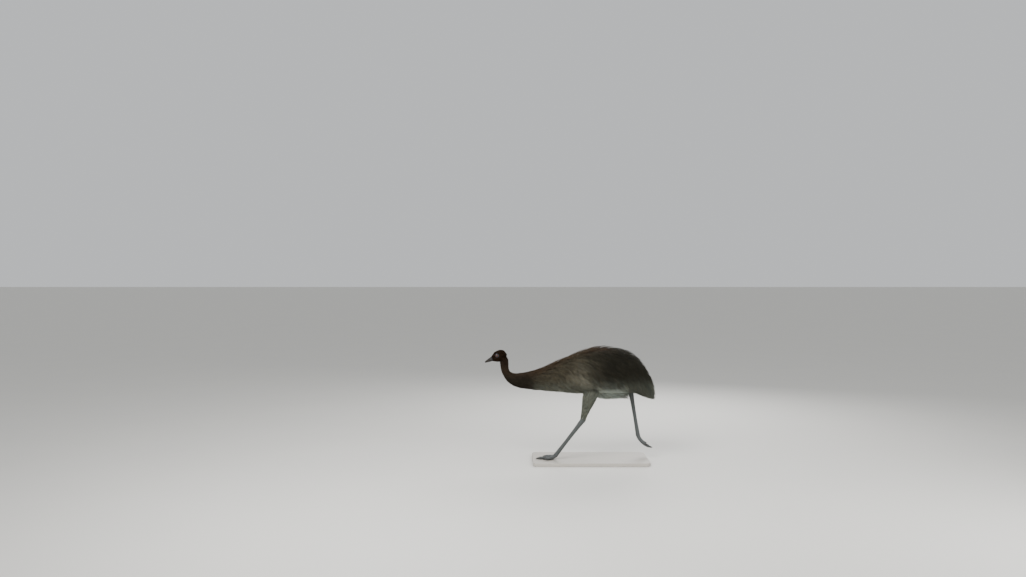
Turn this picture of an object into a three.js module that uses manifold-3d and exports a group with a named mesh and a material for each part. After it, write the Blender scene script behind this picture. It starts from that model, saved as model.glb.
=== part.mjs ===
// A life-size running emu, set down on one foot on a plain display base.
// Millimetres, +X the way the bird faces, +Y its left, +Z up. While it is modelled the base's top is z = 0.
import * as THREE from 'three';
import { mergeVertices } from 'three/addons/utils/BufferGeometryUtils.js';
import Module from 'manifold-3d';

const wasm = await Module();
wasm.setup();
const { Manifold } = wasm;

// Driving dimensions
const GAP = 0.3;                 // clearance between touching nodes
const FINE = 0.005;              // nothing smaller than this is left on a fused node
const TRUNK_COAT = 56;           // depth of the trunk's coat
const NECK_COAT = 9;             // and of the upper neck's
const CORE = 0.5;                // share of the coat that the core under the locks fills
const PEAR = 0.12;               // how much wider the trunk is below its middle than above
const FULL = 0.28;               // how square its flanks hang below the middle, from 0, an ellipse
const RING_SIDES = 22;
const MIDDLE_TOE = 128;          // without its claw
const EYE_R = 12.5;
const BASE = { length: 880, width: 400, height: 26, corner: 40, bevel: 3, midX: 75 };

// The coat's outline from nape to tail: each station is an ellipse whose crown and keel lie in the
// middle plane, given as [crown x, crown z, keel x, keel z, half width].
const BODY = [
  [726, 790, 774, 765, 23],
  [704, 752, 760, 737, 24],
  [698, 698, 757, 683, 26],
  [686, 664, 738, 630, 30],
  [656, 650, 698, 577, 37],
  [603, 652, 634, 542, 46],
  [527, 667, 542, 526, 61],
  [450, 692, 452, 517, 82],
  [359, 736, 360, 510, 108],
  [244, 791, 258, 502, 140],
  [122, 838, 142, 497, 168],
  [0, 862, 18, 503, 186],
  [-122, 846, -92, 507, 190],
  [-237, 804, -184, 507, 181],
  [-328, 725, -252, 500, 158],
  [-386, 633, -304, 482, 122],
  [-420, 546, -346, 466, 94],
  [-424, 500, -380, 456, 66],
];
const LAST = BODY.length - 1;
// Where the nodes part, as station numbers
const NECK = { top: 1.2, bend: 3.7, low: 5.5, root: 7.4 };
const TAIL_ROOT = 14.5;
const BELLY = 512;               // the coat's lower edge under the trunk

// Leg joints, as [x, y, z]
const LEGS = {
  left: { knee: [40, 84, 631], hock: [137, 88, 302], toeRoot: [340, 62, 31] },
  right: { knee: [85, -86, 552], hock: [-252, -92, 490], toeRoot: [-305, -76, 160] },
};

// Head, in its own frame: +x to the bill's tip, origin midway between the eyes
const HEAD_PLACE = [782, 0, 779];
const HEAD_PITCH = THREE.MathUtils.degToRad(17);
// Its outline from the back of the skull to the bill's tip: [x, middle z, half width, half height]
const HEAD = [
  [-66, -4, 9, 10],
  [-58, -3, 24, 26],
  [-38, 1, 30.5, 34],
  [-12, 4, 30.5, 35],
  [12, 2, 28, 31],
  [32, -3.5, 23, 23.5],
  [50, -7, 19.5, 17.5],
  [72, -10, 16.5, 13],
  [91, -13, 11.5, 9],
  [102, -15, 6.5, 5.5],
  [106, -16, 2.5, 2.5],
];
const BILL_BASE = 50;
const EYE = { x: 4, y: 19.5, z: 9 };
const LID = { thick: 2.2, long: 12.5, high: 11, apart: 2.6 };
const EAR = { x: -31, y: 29, z: -7, hole: 5.5, rim: 1.9, deep: 9 };
const MOUTH = { z: -14.5, y: 22, from: 4, to: 60, deep: 8, open: 1.7 };
const NOSTRIL = { x: 71, y: 16, z: -4.5, long: 7, high: 2.2, deep: 4.5 };

const X = new THREE.Vector3(1, 0, 0);
const Y = new THREE.Vector3(0, 1, 0);
const UP = new THREE.Vector3(0, 0, 1);
const v3 = (x, y, z) => new THREE.Vector3(x, y, z);
const { degToRad, smoothstep } = THREE.MathUtils;

// Seeded draws, so that every build is the same
function draws(seed) {
  let a = seed >>> 0;
  return (low, high) => {
    a = (a + 0x6d2b79f5) >>> 0;
    let t = Math.imul(a ^ (a >>> 15), 1 | a);
    t = (t + Math.imul(t ^ (t >>> 7), 61 | t)) ^ t;
    return low + (high - low) * (((t ^ (t >>> 14)) >>> 0) / 4294967296);
  };
}

// Solids
function solidOf(geometry) {
  const bare = geometry.clone();
  bare.deleteAttribute('normal');
  bare.deleteAttribute('uv');
  const merged = mergeVertices(bare, 1e-4);
  const make = (tris) => new Manifold(new wasm.Mesh({
    numProp: 3,
    vertProperties: new Float32Array(merged.attributes.position.array),
    triVerts: new Uint32Array(tris),
  }));
  const solid = make(merged.index.array);
  if (solid.volume() > 0) return solid;
  const turned = Array.from(merged.index.array);
  for (let i = 0; i < turned.length; i += 3) [turned[i], turned[i + 1]] = [turned[i + 1], turned[i]];
  return make(turned);
}

function geometryOf(solid) {
  const mesh = solid.getMesh();
  const geometry = new THREE.BufferGeometry();
  geometry.setAttribute('position', new THREE.BufferAttribute(new Float32Array(mesh.vertProperties), 3));
  geometry.setIndex(new THREE.BufferAttribute(new Uint32Array(mesh.triVerts), 1));
  geometry.computeVertexNormals();
  return geometry;
}

// A closed skin over rings of the same number of points; a ring of one point is a tip
function skin(rings) {
  const points = [], starts = [], faces = [];
  for (const ring of rings) {
    starts.push(points.length);
    points.push(...ring);
  }
  const fan = (ring, start, flip) => {
    if (ring.length === 1) return;
    const middle = points.length;
    points.push(ring.reduce((sum, p) => sum.add(p), v3(0, 0, 0)).divideScalar(ring.length));
    for (let j = 0; j < ring.length; j++) {
      const a = start + j, b = start + (j + 1) % ring.length;
      faces.push(...(flip ? [middle, a, b] : [middle, b, a]));
    }
  };
  fan(rings[0], starts[0], false);
  for (let i = 0; i + 1 < rings.length; i++) {
    const a = rings[i].length, b = rings[i + 1].length, sides = Math.max(a, b);
    for (let j = 0; j < sides; j++) {
      const k = (j + 1) % sides;
      const a0 = starts[i] + (a > 1 ? j : 0), a1 = starts[i] + (a > 1 ? k : 0);
      const b0 = starts[i + 1] + (b > 1 ? j : 0), b1 = starts[i + 1] + (b > 1 ? k : 0);
      if (a > 1) faces.push(a0, a1, b0);
      if (b > 1) faces.push(a1, b1, b0);
    }
  }
  fan(rings.at(-1), starts.at(-1), true);
  const geometry = new THREE.BufferGeometry();
  geometry.setAttribute('position', new THREE.Float32BufferAttribute(points.flatMap((p) => p.toArray()), 3));
  geometry.setIndex(faces);
  return solidOf(geometry);
}

const largest = (solid) => solid.simplify(FINE).decompose()
  .reduce((a, b) => (b.volume() > a.volume() ? b : a));
const trim = (solid, normal, point) => solid.trimByPlane(normal.toArray(), normal.dot(point));

// A value that runs smoothly through a list of rows, by Catmull-Rom, and straight on past its ends
function along(rows, t, column) {
  const last = rows.length - 1;
  if (t < 0) return rows[0][column] + t * (rows[1][column] - rows[0][column]);
  if (t > last) return rows[last][column] + (t - last) * (rows[last][column] - rows[last - 1][column]);
  const i = Math.min(Math.floor(t), last - 1), f = t - i;
  const at = (k) => {
    if (k < 0) return 2 * rows[0][column] - rows[1][column];
    if (k > last) return 2 * rows[last][column] - rows[last - 1][column];
    return rows[k][column];
  };
  const [a, b, c, d] = [at(i - 1), at(i), at(i + 1), at(i + 2)];
  return b + 0.5 * f * (c - a + f * (2 * a - 5 * b + 4 * c - d + f * (3 * (b - c) + d - a)));
}

// 0 on the upper neck, 1 on the trunk
const trunkness = (u) => smoothstep(u, 5, 9.5);
const coatDepth = (u) => NECK_COAT + (TRUNK_COAT - NECK_COAT) * trunkness(u);

// The body's cross-section at station u, shrunk by inset
function section(u, inset = 0) {
  const crown = v3(along(BODY, u, 0), 0, along(BODY, u, 1));
  const keel = v3(along(BODY, u, 2), 0, along(BODY, u, 3));
  const middle = crown.clone().add(keel).multiplyScalar(0.5);
  const up = crown.sub(middle);
  const high = up.length();
  up.setLength(high - Math.min(inset, 0.6 * high));
  const wide = Math.max(along(BODY, u, 4), 12);
  const trunk = trunkness(u);
  return { middle, up, wide: wide - Math.min(inset, 0.6 * wide), pear: PEAR * trunk, full: FULL * trunk };
}

// A point of the body at station u and angle v: 0 is the crown, plus or minus pi the keel, and
// positive angles are on the left
function bodyPoint(u, v, inset = 0) {
  const s = section(u, inset);
  const c = Math.cos(v), across = Math.sin(v);
  const reach = Math.sign(across) * Math.abs(across) ** (c < 0 ? 1 - s.full : 1) * (1 - s.pear * c);
  return s.middle.addScaledVector(s.up, c).addScaledVector(Y, s.wide * reach);
}
const bodySurface = { point: bodyPoint, middle: (u) => section(u).middle };

// A length of the body between two stations, out to inset(u) below the tips of its coat
function bodyLength(from, to, inset, grow = 0) {
  const steps = Math.max(2, Math.round((to - from) * 1.2));
  const rings = [];
  for (let i = 0; i <= steps; i++) {
    const u = from + ((to - from) * i) / steps;
    const ring = [];
    for (let j = 0; j < RING_SIDES; j++) {
      ring.push(bodyPoint(u, (2 * Math.PI * j) / RING_SIDES, inset(u) - grow));
    }
    rings.push(ring);
  }
  return skin(rings);
}

// The plane of the cross-section at station u, its normal towards the tail
function sectionPlane(u) {
  const s = section(u);
  const normal = v3(0, 0, 0).crossVectors(Y, s.up).normalize().negate();
  return { normal, point: s.middle };
}

function between(solid, from, to, gap = GAP) {
  let cut = solid;
  if (from !== null) {
    const { normal, point } = sectionPlane(from);
    cut = trim(cut, normal, point.clone().addScaledVector(normal, gap / 2));
  }
  if (to !== null) {
    const { normal, point } = sectionPlane(to);
    cut = trim(cut, normal.clone().negate(), point.clone().addScaledVector(normal, -gap / 2));
  }
  return cut;
}

// Limbs: rows of [x, y, z, half width, half depth] along a line of joints
function limbFrame(rows, t) {
  const end = rows.length - 1, near = 0.02;
  const point = (at) => v3(along(rows, at, 0), along(rows, at, 1), along(rows, at, 2));
  const ahead = point(Math.min(t + near, end)).sub(point(Math.max(Math.min(t, end) - near, 0))).normalize();
  const side = Y.clone().addScaledVector(ahead, -Y.dot(ahead)).normalize();
  return { middle: point(t), ahead, side, back: side.clone().cross(ahead) };
}

function limbPoint(rows, t, v, inset = 0) {
  const { middle, side, back } = limbFrame(rows, t);
  return middle
    .addScaledVector(side, (along(rows, Math.min(t, rows.length - 1), 3) - inset) * Math.cos(v))
    .addScaledVector(back, (along(rows, Math.min(t, rows.length - 1), 4) - inset) * Math.sin(v));
}

// Row numbers at even steps of length along a limb
function evenly(rows, steps) {
  const fine = 120, end = rows.length - 1;
  const reach = [0];
  for (let i = 1; i <= fine; i++) {
    const [here, before] = [i, i - 1].map((k) => limbFrame(rows, (end * k) / fine).middle);
    reach.push(reach[i - 1] + here.distanceTo(before));
  }
  const at = [];
  for (let i = 0, k = 0; i <= steps; i++) {
    while (k < fine - 1 && reach[k + 1] < (reach[fine] * i) / steps) k++;
    at.push((end * (k + ((reach[fine] * i) / steps - reach[k]) / (reach[k + 1] - reach[k]))) / fine);
  }
  return at;
}

// With raise, each step past the first bare ones is a scute: its far edge stands that much proud of
// the next one, on the front
function limb(rows, { sides = 12, steps = 12, grow = 0, raise = 0, bare = 0 } = {}) {
  const rings = [];
  const end = rows.length - 1;
  const ring = (t, lift, shift) => {
    const { ahead } = limbFrame(rows, t);
    const points = [];
    for (let j = 0; j < sides; j++) {
      const v = (2 * Math.PI * (j + 0.5)) / sides;
      const front = Math.max(0, -Math.sin(v));
      points.push(limbPoint(rows, t, v, -grow - lift * Math.sqrt(front)).addScaledVector(ahead, shift));
    }
    rings.push(points);
  };
  const edge = 0.012 * end;
  evenly(rows, steps).forEach((t, i) => {
    const scute = raise > 0 && i > bare && i < steps;
    if (scute) ring(t - edge / 2, raise, 0);
    ring(scute ? t + edge / 2 : t, 0, i === 0 ? -grow : i === steps ? grow : 0);
  });
  return skin(rings);
}

// Rows for a limb that turns through the given pitches: each row is [length, pitch, half width, half depth]
function turning(start, spread, rows) {
  const at = v3(...start);
  const turn = degToRad(spread);
  return rows.map(([length, pitch, wide, deep]) => {
    const a = degToRad(pitch);
    const way = v3(Math.cos(a) * Math.cos(turn), Math.sin(turn), Math.sin(a) * Math.cos(turn));
    at.addScaledVector(way, length);
    return [at.x, at.y, at.z, wide, deep];
  });
}

// Locks of the coat
// A lock from its root to its tip, as shares of its length, width and thickness: the root dips
// steeply into the core, and the rest lies along the coat
const LOCK = [[0, 0.18, 1], [0.13, 0.5, 1], [0.52, 1, 1], [1, 0, 0]];
// How deep those four places lie below the coat's outline, as shares of the coat's depth, and how
// much of each the lift takes off
const RISE = [[CORE + 0.2, 0], [CORE - 0.08, 1], [0.2, 1], [0, 0.5]];
const LAYER = 0.035;             // every other lock lies this share deeper, and the rest as much higher
// A grown lock is wider and longer by these multiples, for its edges and tip are sharp
const GROWTH = { side: 8, tip: 5 };

// A lock's middle line: from its root it runs over the surface with the lie, towards the tail end and
// falling by its weight, turned aside by turn, at the given depths below the tips of the coat
function lie(surface, root, length, fall, turn, depths) {
  const near = 0.02;
  let [u, v] = root;
  return depths.map((depth, i) => {
    const point = surface.point(u, v, depth);
    const alongU = surface.point(u + near, v, depth).sub(point).divideScalar(near);
    const alongV = surface.point(u, v + near, depth).sub(point).divideScalar(near);
    const out = alongU.clone().cross(alongV).normalize();
    if (out.dot(point.clone().sub(surface.middle(u))) < 0) out.negate();
    const heading = alongU.clone().normalize().addScaledVector(UP, -fall).applyAxisAngle(out, turn);
    const [uu, uv, vv] = [alongU.dot(alongU), alongU.dot(alongV), alongV.dot(alongV)];
    const [hu, hv] = [heading.dot(alongU), heading.dot(alongV)];
    const share = uu * vv - uv * uv;
    const du = (hu * vv - hv * uv) / share, dv = (hv * uu - hu * uv) / share;
    const step = length * (LOCK[Math.min(i + 1, LOCK.length - 1)][0] - LOCK[i][0]);
    const pace = step / alongU.multiplyScalar(du).addScaledVector(alongV, dv).length();
    u += du * pace;
    v += dv * pace;
    return { point, out };
  });
}

// The solid of a lock: flat below, with a low ridge along its middle
function lockSolid({ path, width, thick }, grow = 0) {
  const end = path.length - 1;
  const rings = path.map(({ point, out }, i) => {
    const ahead = path[Math.min(i + 1, end)].point.clone().sub(path[Math.max(i - 1, 0)].point).normalize();
    if (i === end) return [point.clone().addScaledVector(ahead, GROWTH.tip * grow)];
    const side = ahead.clone().cross(out).normalize();
    const half = (width * LOCK[i][1]) / 2 + GROWTH.side * grow;
    const start = point.clone().addScaledVector(ahead, i === 0 ? -grow : 0);
    const low = start.clone().addScaledVector(out, -grow);
    return [
      low.clone().addScaledVector(side, half),
      low.clone().addScaledVector(side, -half),
      start.addScaledVector(out, thick * LOCK[i][2] + grow),
    ];
  });
  return skin(rings);
}

const fused = (locks, grow = 0) => Manifold.union(locks.map((lock) => lockSolid(lock, grow)));

const boxesMeet = (a, b) => [0, 1, 2].every((k) => a.min[k] <= b.max[k] && b.min[k] <= a.max[k]);

// How a lock may be lifted, as a share of the coat, and turned aside to clear the locks round it
const WAYS = [
  [0, 0], [0.05, 0], [-0.05, 0], [0, 0.1], [0, -0.1],
  [0.05, 0.1], [0.05, -0.1], [-0.05, 0.1], [-0.05, -0.1], [0.1, 0], [-0.1, 0],
];

// Lays a lock the first way that crosses none of the others, or else the way that crosses fewest
function layClear(make, others) {
  let best = null;
  for (const [lift, aside] of WAYS) {
    const lock = make(lift, aside);
    lock.solid = lockSolid(lock, GAP);
    lock.box = lock.solid.boundingBox();
    const near = others.filter(({ box }) => boxesMeet(box, lock.box));
    const met = near.filter(({ solid }) => solid.intersect(lock.solid).numTri() > 0).length;
    if (!best || met < best.met) best = { lock, met };
    if (met === 0) break;
  }
  return best.lock;
}

function girthAt(surface, u) {
  const sides = 24;
  const around = Array.from({ length: sides }, (_, j) => surface.point(u, (2 * Math.PI * j) / sides));
  return around.reduce((sum, p, j) => sum + p.distanceTo(around[(j + 1) % sides]), 0);
}

// Staggered rows of locks over a stretch of a surface, every lock within the bounds that keep sets
function locksOver(surface, others, coat) {
  const { seed, from, to, row, across, length, width, thick, fall, depth, keep = () => true } = coat;
  const draw = draws(seed);
  const locks = [];
  const near = 0.05;
  let odd = false;
  for (let u = from; u <= to;) {
    const count = 2 * Math.max(3, Math.round(girthAt(surface, u) / across / 2));
    for (let j = 0; j < count; j++) {
      const v = ((2 * Math.PI) / count) * (j + (odd ? 0.5 : 0) + draw(-0.1, 0.1));
      const rootU = u + draw(-0.07, 0.07);
      const long = length * draw(0.85, 1.15);
      const turn = draw(-0.1, 0.1);
      const tip = draw(0, 0.08);
      const layers = [0, j % 2 ? LAYER : -LAYER, j % 2 ? LAYER : -LAYER, tip];
      const broad = width * draw(0.88, 1.08);
      const lock = layClear((lift, aside) => {
        const depths = RISE.map(([share, lifted], i) => (share + layers[i] - lifted * lift) * depth(rootU));
        return { path: lie(surface, [rootU, v], long, fall, turn + aside, depths), width: broad, thick };
      }, [...others, ...locks]);
      if (lock.path.every(({ point }, i) => keep(point, i))) locks.push(lock);
    }
    u += (row * near) / surface.point(u + near, Math.PI / 2).distanceTo(surface.point(u, Math.PI / 2));
    odd = !odd;
  }
  return locks;
}

// Head
const toWorld = new THREE.Matrix4().makeTranslation(...HEAD_PLACE)
  .multiply(new THREE.Matrix4().makeRotationY(HEAD_PITCH));
const ball = (x, y, z, rx, ry = rx, rz = rx, detail = 12) => solidOf(
  new THREE.SphereGeometry(1, detail, detail / 2).scale(rx, ry, rz).translate(x, y, z));
const inWorld = (solid) => solid.transform(toWorld.elements);

function headForm() {
  const rings = [];
  const steps = 16, sides = 16, end = HEAD.length - 1;
  for (let i = 0; i <= steps; i++) {
    const t = (end * i) / steps;
    const [x, z, wide, high] = [0, 1, 2, 3].map((column) => along(HEAD, t, column));
    const ring = [];
    for (let j = 0; j < sides; j++) {
      const a = (2 * Math.PI * j) / sides;
      ring.push(v3(x, wide * Math.sin(a), z + high * Math.cos(a)));
    }
    rings.push(ring);
  }
  return skin(rings);
}

// The opening between an eye's lids, pointed at both corners
function lidOpening(side) {
  const reach = EYE_R + LID.thick;
  const lobe = (lift) => ball(EYE.x, side * (EYE.y + reach), EYE.z + lift, LID.long, reach, LID.high, 10);
  return lobe(LID.apart).intersect(lobe(-LID.apart));
}

function earRim(side) {
  const ring = new THREE.TorusGeometry(EAR.hole + EAR.rim, EAR.rim, 5, 10).rotateX(Math.PI / 2);
  return solidOf(ring.rotateZ(side * degToRad(8)).translate(EAR.x, side * EAR.y, EAR.z));
}

// The line of the mouth, a shallow groove that runs back from the bill's edge below the eye
function gape(side) {
  const middle = (MOUTH.from + MOUTH.to) / 2, half = (MOUTH.to - MOUTH.from) / 2;
  return ball(middle, side * MOUTH.y, MOUTH.z, half, MOUTH.deep, MOUTH.open, 6);
}

function headNodes() {
  const whole = headForm();
  let bill = trim(whole, X, v3(BILL_BASE + GAP / 2, 0, 0));
  let head = trim(whole, X.clone().negate(), v3(BILL_BASE - GAP / 2, 0, 0));
  const neckTop = between(bodyLength(0, NECK.top + 0.5, () => 0), null, NECK.top);
  const eyes = {};
  for (const side of [-1, 1]) {
    const at = [EYE.x, side * EYE.y, EYE.z];
    eyes[side > 0 ? 'eye_left' : 'eye_right'] = inWorld(ball(...at, EYE_R));
    head = head.add(ball(...at, EYE_R + LID.thick)).add(earRim(side))
      .subtract(ball(...at, EYE_R + GAP))
      .subtract(lidOpening(side))
      .subtract(ball(EAR.x, side * (EAR.y + 1), EAR.z, EAR.hole, EAR.deep, EAR.hole, 8))
      .subtract(gape(side));
    const nostril = ball(NOSTRIL.x, side * NOSTRIL.y, NOSTRIL.z, NOSTRIL.long, NOSTRIL.deep, NOSTRIL.high, 8);
    bill = bill.subtract(nostril);
  }
  return {
    head: largest(inWorld(head).add(neckTop)),
    bill_upper: largest(inWorld(trim(bill, UP, v3(0, 0, MOUTH.z + GAP)))),
    bill_lower: largest(inWorld(trim(bill, UP.clone().negate(), v3(0, 0, MOUTH.z - GAP)))),
    ...eyes,
  };
}

// Wings: stubs that lie back along the shoulder, over the trunk's coat
const WING = { from: 8.75, to: 10.05, angle: 86, droop: 24 };
// Its line from shoulder to tip: [share of its length, depth under the coat, half thickness, half width]
const WING_LINE = [[0, 22, 8, 14], [0.35, 9, 10, 23], [0.7, 4, 8, 18], [1, 4, 3.5, 7]];
// The roots of its locks: [share of its length, degrees aside]
const WING_LOCKS = [[0.3, -7], [0.4, 7], [0.6, 0], [0.8, -6], [0.85, 6]];
const wingAngle = (share) => degToRad(WING.angle + WING.droop * share);

function wingRows(side) {
  return WING_LINE.map(([share, inset, thick, wide]) => {
    const u = WING.from + (WING.to - WING.from) * share;
    return [...bodyPoint(u, side * wingAngle(share), inset).toArray(), thick, wide];
  });
}

function wingLocks(side) {
  const draw = draws(side > 0 ? 41 : 42);
  return WING_LOCKS.map(([share, aside]) => {
    const root = [WING.from + (WING.to - WING.from) * share, side * (wingAngle(share) + degToRad(aside))];
    const path = lie(bodySurface, root, draw(90, 115), 0.45, draw(-0.12, 0.12), [8, 1, -4, draw(-6, -2)]);
    return { path, width: draw(24, 30), thick: 4 };
  });
}
const wing = (side, grow = 0) => limb(wingRows(side), { sides: 8, steps: 4, grow })
  .add(fused(wingLocks(side), grow));

// Legs
// A thigh and a shank from joint to joint: [share of the way, half width, half depth]
const THIGH_LINE = [
  [-0.16, 42, 50], [0, 48, 70], [0.25, 47, 66], [0.5, 40, 53], [0.75, 29, 34], [0.93, 20, 23],
];
const SHANK_LINE = [
  [0, 17, 19], [0.08, 15.5, 18.5], [0.16, 13.5, 16.5], [0.3, 12, 15], [0.6, 11, 13.5],
  [0.88, 13, 15], [0.98, 17, 16],
];
const joined = (a, b, line) => line
  .map(([share, ...size]) => [...v3(...a).lerp(v3(...b), share).toArray(), ...size]);
const thighRows = (leg) => joined(leg.knee, leg.hock, THIGH_LINE);
const tarsusRows = (leg) => joined(leg.hock, leg.toeRoot, SHANK_LINE);
const THIGH_COAT = 18;
const thighDepth = (u) => THIGH_COAT - 2 * u;
// The thigh under its coat
const thighCoreRows = (leg) => thighRows(leg).map(([x, y, z, wide, deep], i) => {
  const inset = CORE * thighDepth(i);
  return [x, y, z, wide - inset, deep - inset];
});
const thighCore = (leg, grow = 0) => limb(thighCoreRows(leg), { sides: 12, steps: 6, grow });

// Pitch of the lengths of a toe, from its root to its claw, in degrees below level when negative
const TOE_PITCH = {
  left: [-30, -34, -9, -4, -2, -1],
  right: [-104, -112, -126, -138, -150, -158],
};
const TOES = {
  inner: { spread: -33, size: 0.7 },
  middle: { spread: 0, size: 1 },
  outer: { spread: 33, size: 0.72 },
};
const TOE_CUT = 2.35;            // row at which a toe parts from the foot
// Steps along a shank and a toe, the shank's first ones without a scute, and how far a scute stands out
const SCUTE = { shank: 10, bare: 1, toe: 6, raise: 1.6, toeShare: 0.8 };
const HOCK_R = 21;
const ANKLE_LIFT = 14;           // how far above the toes' root the foot parts from the shank

const toeTurn = (side, toe) => (side === 'left' ? 1 : -0.75) * TOES[toe].spread;
const toeFat = (toe) => 0.55 + 0.45 * TOES[toe].size;

function toeRows(side, toe) {
  const [p0, p1, p2, p3, p4] = TOE_PITCH[side];
  const fat = toeFat(toe);
  const [ball, second] = [22, 34];
  const joint = (MIDDLE_TOE * TOES[toe].size - ball - second) / 2;
  return turning(LEGS[side].toeRoot, toeTurn(side, toe), [
    [0, p0, 15 * fat, 15 * fat],
    [ball, p1, 15 * fat, 14.5 * fat],
    [second, p2, 14.5 * fat, 14 * fat],
    [joint, p3, 13 * fat, 12.5 * fat],
    [joint, p4, 9.5 * fat, 10 * fat],
  ]);
}

function clawRows(side, toe) {
  const fat = toeFat(toe);
  const pitch = TOE_PITCH[side].at(-1);
  return turning(toeRows(side, toe).at(-1).slice(0, 3), toeTurn(side, toe), [
    [-4, pitch, 7.8 * fat, 8.3 * fat],
    [15, pitch - 4, 6 * fat, 6.5 * fat],
    [9, pitch - 9, 4 * fat, 4 * fat],
    [7, pitch - 14, 1.2 * fat, 1.4 * fat],
  ]);
}

const onGround = (side, solid) => (side === 'left' ? trim(solid, UP, v3(0, 0, GAP)) : solid);

function legNodes(side, thigh) {
  const leg = LEGS[side];
  const hock = v3(...leg.hock), toeRoot = v3(...leg.toeRoot);
  const down = hock.clone().sub(v3(...leg.knee)).normalize();
  const shankDown = toeRoot.clone().sub(hock).normalize();
  const made = {};
  const cuff = v3(...thighRows(leg).at(-1).slice(0, 3)).addScaledVector(down, -6);
  made['thigh_' + side] = largest(trim(thigh, down.clone().negate(), cuff));
  const shankTop = cuff.clone().addScaledVector(down, GAP);
  const collar = limb([[...shankTop.toArray(), 17, 20], [...leg.hock, 17, 20]], { sides: 8, steps: 1 });
  const knuckle = trim(ball(...leg.hock, HOCK_R, HOCK_R - 3, HOCK_R, 8), down, shankTop);
  const ankle = toeRoot.clone().addScaledVector(shankDown, -ANKLE_LIFT);
  const scutes = { steps: SCUTE.shank, raise: SCUTE.raise, bare: SCUTE.bare };
  const tarsus = limb(tarsusRows(leg), { sides: 10, ...scutes });
  made['shank_' + side] = largest(trim(tarsus.add(collar).add(knuckle), shankDown.clone().negate(), ankle));
  let foot = ball(...leg.toeRoot, 17, 18, 17, 10).add(limb([
    [...ankle.clone().addScaledVector(shankDown, GAP).toArray(), 16, 15.5],
    [...leg.toeRoot, 17, 16],
  ], { sides: 10, steps: 1 }));
  for (const toe of Object.keys(TOES)) {
    const rows = toeRows(side, toe);
    const raise = SCUTE.raise * SCUTE.toeShare * toeFat(toe);
    const whole = onGround(side, limb(rows, { sides: 8, steps: SCUTE.toe, raise }));
    const { middle: at, ahead } = limbFrame(rows, TOE_CUT);
    const tip = limbFrame(rows, rows.length - 1);
    const claw = limb(clawRows(side, toe), { sides: 6, steps: 3 });
    const clawRoot = tip.middle.addScaledVector(tip.ahead, GAP);
    made['toe_' + side + '_' + toe] = largest(trim(whole, ahead, at.clone().addScaledVector(ahead, GAP / 2)));
    foot = foot.add(trim(whole, ahead.clone().negate(), at.clone().addScaledVector(ahead, -GAP / 2)));
    made['claw_' + side + '_' + toe] = onGround(side, trim(claw, tip.ahead, clawRoot));
  }
  foot = trim(foot, shankDown, ankle.clone().addScaledVector(shankDown, GAP));
  made['foot_' + side] = largest(onGround(side, foot));
  return made;
}

// Display base
function base() {
  const { length, width, height, corner, bevel } = BASE;
  const x = length / 2 - bevel, y = width / 2 - bevel, r = corner - bevel;
  const outline = new THREE.Shape();
  outline.absarc(x - r, y - r, r, 0, Math.PI / 2);
  outline.absarc(r - x, y - r, r, Math.PI / 2, Math.PI);
  outline.absarc(r - x, r - y, r, Math.PI, 1.5 * Math.PI);
  outline.absarc(x - r, r - y, r, 1.5 * Math.PI, 2 * Math.PI);
  const slab = new THREE.ExtrudeGeometry(outline, {
    depth: height - 2 * bevel, bevelThickness: bevel, bevelSize: bevel, bevelSegments: 1, curveSegments: 5,
  });
  return solidOf(slab.translate(BASE.midX, 0, bevel - height));
}

// The coat's nodes. Each stretch of locks lies over the one behind it, which is cut clear of it.
const coreInset = (u) => CORE * coatDepth(u) * smoothstep(u, NECK.top + 0.2, NECK.bend);
function stretch(from, to, grow = 0) {
  const whole = bodyLength(Math.max(from - 0.5, 0), Math.min(to + 0.5, LAST), coreInset, grow);
  return between(whole, from, to < LAST ? to : null, GAP - 2 * grow);
}

// The trunk's locks stand this far from the middle lines of the thighs, which take up the core there
const THIGH_ROOM = { root: 60, rest: 38 };
const thighLines = Object.values(LEGS).map((leg) => new THREE.Line3(v3(...leg.knee), v3(...leg.hock)));
const clearOfThighs = (point, i) => thighLines.every((line) => {
  const off = line.closestPointToPoint(point, true, v3(0, 0, 0)).distanceTo(point);
  return off > (i === 0 ? THIGH_ROOM.root : THIGH_ROOM.rest);
});

// Locks by node: rows of roots between two stations, row apart and across from one to the next
const COATS = {
  neck_middle: {
    seed: 11, from: NECK.bend + 0.2, to: NECK.low - 0.1, row: 42, across: 40,
    length: 70, width: 31, thick: 2, fall: 0.1,
  },
  neck_lower: {
    seed: 12, from: NECK.low + 0.2, to: NECK.root - 0.12, row: 50, across: 50,
    length: 108, width: 45, thick: 3, fall: 0.3,
  },
  torso: {
    seed: 13, from: NECK.root + 0.3, to: TAIL_ROOT - 0.3, row: 84, across: 74,
    length: 195, width: 67, thick: 3.6, fall: 0.9, keep: clearOfThighs,
  },
  thigh: {
    seed: { left: 21, right: 22 }, from: 2, to: 4, row: 60, across: 54,
    length: 100, width: 46, thick: 3, fall: 0.25, keep: (point) => point.z < BELLY,
  },
  tail: {
    seed: 19, from: TAIL_ROOT + 0.4, to: LAST - 0.9, row: 62, across: 66,
    length: 125, width: 54, thick: 3.5, fall: 0.9,
  },
};
const STRETCHES = {
  neck_upper: [NECK.top, NECK.bend],
  neck_middle: [NECK.bend, NECK.low],
  neck_lower: [NECK.low, NECK.root],
  torso: [NECK.root, TAIL_ROOT],
  tail: [TAIL_ROOT, LAST],
};

const cutBy = (solid, others) => (others.length ? solid.subtract(Manifold.union(others)) : solid);
const grownThighs = Object.values(LEGS).map((leg) => thighCore(leg, 1.5 * GAP));
const grownWings = [-1, 1].map((side) => wing(side, GAP));

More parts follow.
